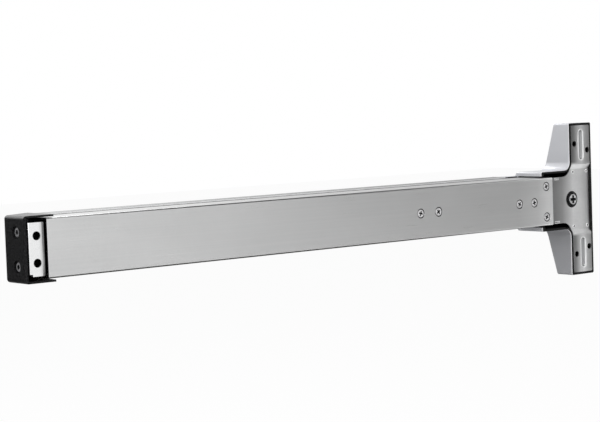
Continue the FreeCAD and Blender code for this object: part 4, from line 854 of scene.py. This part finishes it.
def cover_screws():
    """Two countersunk screws in the spine's front."""
    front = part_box("cover_screws")[0].y
    screws = [cross_screw(COVER_SCREW, COVER_CROSS, turn, (x, front + COVER_SCREW_SINK, 0), INTO_ROOM)
              for x, turn in zip(COVER_SCREW_SIDES, COVER_SCREW_TURNS)]
    shapes, places = zip(*screws)
    made = finished("cover_cross_screws", gathered(shapes, places), ["screw_steel", "recess_painted_shade"])
    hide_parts("cover_screws")


def end_cap():
    """The moulded end cap, smoother and deeper black inside and on its rear rim."""
    shape = copied("end_cap")
    hidden = hidden_faces(shape)
    for face in shape.faces:
        face.material_index = int(face in hidden or face.normal.y > FACING)
    made = finished("end_cap_shell", shape, ["black_plastic", "cap_inside"])
    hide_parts("end_cap")


CAP_SCREW_DEPTH = 15.1 * MM
CAP_SCREW_HEIGHT = 16.9 * MM
CAP_SOCKET = 4.4 * MM
CAP_SOCKET_DEPTH = 1.4 * MM
CAP_SOCKET_TAPER = 0.97
# Radii and heights in millimetres: the shank from its tip, and the head up to its face
CAP_SCREW_TIP = ((0, 0), (1.7, 0), (2.0, 0.4))
CAP_SCREW_HEAD = ((2.0, -2.0), (4.7, -2.0), (4.7, -0.8), (4.5, -0.3), (4.0, 0))


def cap_screws():
    """Two socket screws in the end cap's counterbores."""
    low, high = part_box("end_cap_screws")
    points = outline(CAP_SCREW_TIP, low.x - high.x) + outline(CAP_SCREW_HEAD)
    heights = (CAP_SCREW_HEIGHT, -CAP_SCREW_HEIGHT)
    shapes = [screw(points, CAP_SOCKET, CAP_SOCKET_DEPTH, CAP_SOCKET_TAPER) for _ in heights]
    places = [Matrix.Translation((high.x, -CAP_SCREW_DEPTH, height)) @ ALONG_BAR for height in heights]
    made = finished("cap_socket_screws", gathered(shapes, places), ["cap_screw_steel", "recess_painted_shade"])
    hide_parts("end_cap_screws")


# ---- Springs ----

SPRING_WIRE = 1.0 * MM
PAD_SPRING_RADIUS = 4.2 * MM
PAD_SPRING_HEIGHT = 18.5 * MM
PAD_SPRING_TURNS = 13
LATCH_SPRING_RADIUS = 4.5 * MM
LATCH_SPRING_TURNS = 15


def springs():
    """The wound springs: two behind the pad at each bracket, and the latch bolt's own."""
    for station in ("head", "hinge"):
        node = station + "_pad_springs"
        low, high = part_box(node)
        length = high.y - low.y
        x = (low.x + high.x) / 2
        shapes = [coil(PAD_SPRING_RADIUS, SPRING_WIRE, length, PAD_SPRING_TURNS) for side in (1, -1)]
        places = [Matrix.Translation((x, high.y, side * PAD_SPRING_HEIGHT)) @ INTO_ROOM for side in (1, -1)]
        made = finished(station + "_pad_coils", gathered(shapes, places), ["spring_steel"])
        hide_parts(node)
        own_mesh(made)
    low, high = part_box("latch_spring")
    length = high.x - low.x
    middle = (low + high) / 2
    shape = coil(LATCH_SPRING_RADIUS, SPRING_WIRE, length, LATCH_SPRING_TURNS)
    place = Matrix.Translation((low.x, middle.y, middle.z)) @ ALONG_BAR
    made = finished("latch_coil", gathered([shape], [place]), ["spring_steel"])
    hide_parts("latch_spring")
    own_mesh(made)


# ---- Studio ----

# The camera, as fitted to the photograph: places in metres, lens and sensor in millimetres
CAMERA_PLACE = Vector((1.66416, 1.48772, 0.13698))
CAMERA_AIM = Vector((0.45296, 0.0, 0.0150))
CAMERA_ROLL = math.radians(-2.034)
CAMERA_LENS = 106.55
CAMERA_SENSOR = 36.0
CAMERA_NEAR = 0.05
CAMERA_FAR = 50.0

WHITE = (1, 1, 1, 1)
WORLD_LIGHT = 0.45
FLOOR_REACH = 8.0
FLOOR_DROP = 0.35
FLOOR_COLOUR = (0.85, 0.85, 0.85, 1)
FLOOR_GLOW = 0.95
CARD_BLACK = 0.02
# A square grid's size is half its width
UNIT_SQUARE = 0.5
BAR_MIDDLE = (0.4, 0.0, 0.0)


def aimed(thing, place, aim):
    """Put a camera or lamp at a place and point it at a spot."""
    thing.location = place
    thing.rotation_mode = "QUATERNION"
    thing.rotation_quaternion = (Vector(aim) - Vector(place)).to_track_quat("-Z", "Y")


def camera():
    """The photograph's view of the bar."""
    data = bpy.data.cameras.new("camera")
    data.lens = CAMERA_LENS
    data.sensor_width = CAMERA_SENSOR
    data.clip_start = CAMERA_NEAR
    data.clip_end = CAMERA_FAR
    made = linked("camera", data)
    aimed(made, CAMERA_PLACE, CAMERA_AIM)
    made.rotation_quaternion = made.rotation_quaternion @ Quaternion((0, 0, 1), CAMERA_ROLL)
    bpy.context.scene.camera = made


def backdrop_light(nodes, links):
    """One where camera, glossy or transmission rays look, and nought for the rest."""
    rays = nodes.new("ShaderNodeLightPath").outputs
    light = rays["Is Camera Ray"]
    for kind in ("Is Glossy Ray", "Is Transmission Ray"):
        either = nodes.new("ShaderNodeMath")
        either.operation = "MAXIMUM"
        links.new(light, either.inputs[0])
        links.new(rays[kind], either.inputs[1])
        light = either.outputs[0]
    return light


def surroundings():
    """White all round for the eye and for reflections, and a plain level of light for the rest."""
    world = bpy.data.worlds.new("studio")
    bpy.context.scene.world = world
    world.use_nodes = True
    nodes, links = world.node_tree.nodes, world.node_tree.links
    nodes.clear()
    white = nodes.new("ShaderNodeBackground")
    white.inputs["Color"].default_value = WHITE
    dim = nodes.new("ShaderNodeBackground")
    dim.inputs["Color"].default_value = WHITE
    dim.inputs["Strength"].default_value = WORLD_LIGHT
    mix = nodes.new("ShaderNodeMixShader")
    links.new(backdrop_light(nodes, links), mix.inputs[0])
    links.new(dim.outputs[0], mix.inputs[1])
    links.new(white.outputs[0], mix.inputs[2])
    links.new(mix.outputs[0], nodes.new("ShaderNodeOutputWorld").inputs[0])


def pale_floor():
    """A pale floor below the head that keeps the bar's shadow."""
    shape = bmesh.new()
    bmesh.ops.create_grid(shape, x_segments=2, y_segments=2, size=FLOOR_REACH)
    bmesh.ops.translate(shape, vec=(0, 0, cad_box[0].z - FLOOR_DROP), verts=shape.verts)
    made = linked("floor", meshed("floor", shape))
    paint = bpy.data.materials.new("pale floor")
    paint.use_nodes = True
    nodes, links = paint.node_tree.nodes, paint.node_tree.links
    nodes.clear()
    matt = nodes.new("ShaderNodeBsdfDiffuse")
    matt.inputs["Color"].default_value = FLOOR_COLOUR
    glow = nodes.new("ShaderNodeEmission")
    share = nodes.new("ShaderNodeMath")
    share.operation = "MULTIPLY"
    share.inputs[1].default_value = FLOOR_GLOW
    links.new(backdrop_light(nodes, links), share.inputs[0])
    blend = nodes.new("ShaderNodeMixShader")
    links.new(share.outputs[0], blend.inputs[0])
    links.new(matt.outputs[0], blend.inputs[1])
    links.new(glow.outputs[0], blend.inputs[2])
    links.new(blend.outputs[0], nodes.new("ShaderNodeOutputMaterial").inputs[0])
    made.data.materials.append(paint)


def softbox(name, place, aim, width, height, watts):
    """A soft lamp that points at a spot."""
    data = bpy.data.lights.new(name, "AREA")
    data.shape = "RECTANGLE"
    data.size = width
    data.size_y = height
    data.energy = watts
    lamp = linked(name, data)
    aimed(lamp, place, aim)
    lamp.visible_camera = False
    return lamp


def dark_card(name, place, aim, width, height, shade=CARD_BLACK):
    """A dark card out of sight, which only shows in the metal's reflections."""
    shape = bmesh.new()
    bmesh.ops.create_grid(shape, x_segments=1, y_segments=1, size=UNIT_SQUARE)
    bmesh.ops.scale(shape, vec=(width, height, 1), verts=shape.verts)
    turn = (Vector(aim) - Vector(place)).to_track_quat("-Z", "Y").to_matrix().to_4x4()
    bmesh.ops.transform(shape, matrix=Matrix.Translation(place) @ turn, verts=shape.verts)
    card = linked(name, meshed(name, shape))
    paint = bpy.data.materials.new(name)
    paint.use_nodes = True
    paint.node_tree.nodes["Principled BSDF"].inputs["Base Color"].default_value = (shade, shade, shade, 1)
    card.data.materials.append(paint)
    card.visible_camera = False
    card.visible_diffuse = False
    card.visible_shadow = False
    card.visible_transmission = False


def lamps():
    """Soft light from above, the side and the room, and a small lamp that shows in reflections alone."""
    top = softbox("top_softbox", (0.7, 0.4, 1.7), BAR_MIDDLE, width=1.8, height=0.8, watts=26)
    top.visible_glossy = False
    softbox("side_softbox", (1.9, 1.3, 1.0), BAR_MIDDLE, width=1.0, height=1.0, watts=12)
    softbox("back_softbox", (0.1, -1.15, 1.35), (0.05, 0, 0.04), width=0.7, height=0.7, watts=9)
    edge = softbox("edge_softbox", (0.87, -1.03, 0.62), (0.79, 0, 0.03), width=0.4, height=0.4, watts=0.8)
    edge.visible_diffuse = False


def dark_cards():
    """Cards for the head's far side, the top and bottom of the bar, the end cap and the lower ear."""
    dark_card("far_card", (-2.0, 1.9, 0.0), (0.2, 0.0, 0.0), width=1.5, height=2.2, shade=0.42)
    dark_card("upper_flag", (-0.25, 0.3, 0.75), (-0.25, 0.3, 0.0), width=1.7, height=1.6)
    dark_card("lower_flag", (0.24, -0.1, -0.4), (0.24, -0.1, 0.0), width=1.32, height=1.5)
    dark_card("cap_flag", (1.05, -0.45, -0.14), (0.79, 0.0, -0.14), width=0.8, height=0.52)
    dark_card("ear_flag", (1.25, -1.1, -0.32), (0.0, 0.0, -0.07), width=2.2, height=0.3)


bpy.context.scene.view_settings.view_transform = "Standard"
camera()
surroundings()
pale_floor()
lamps()
dark_cards()
head_cover()
bar_channel()
sheet_part("base_plate", "pressed_base_plate", "plate_zinc", PLATE_EDGE_BREAK)
sheet_part("end_bracket", "pressed_end_bracket", "end_bracket_steel", BRACKET_EDGE_BREAK)
pad_shell()
trim_hub()
plate_rivets()
lance_tabs()
slot_rims()
channel_screws()
end_cap()
cap_screws()
cover_screws()
springs()
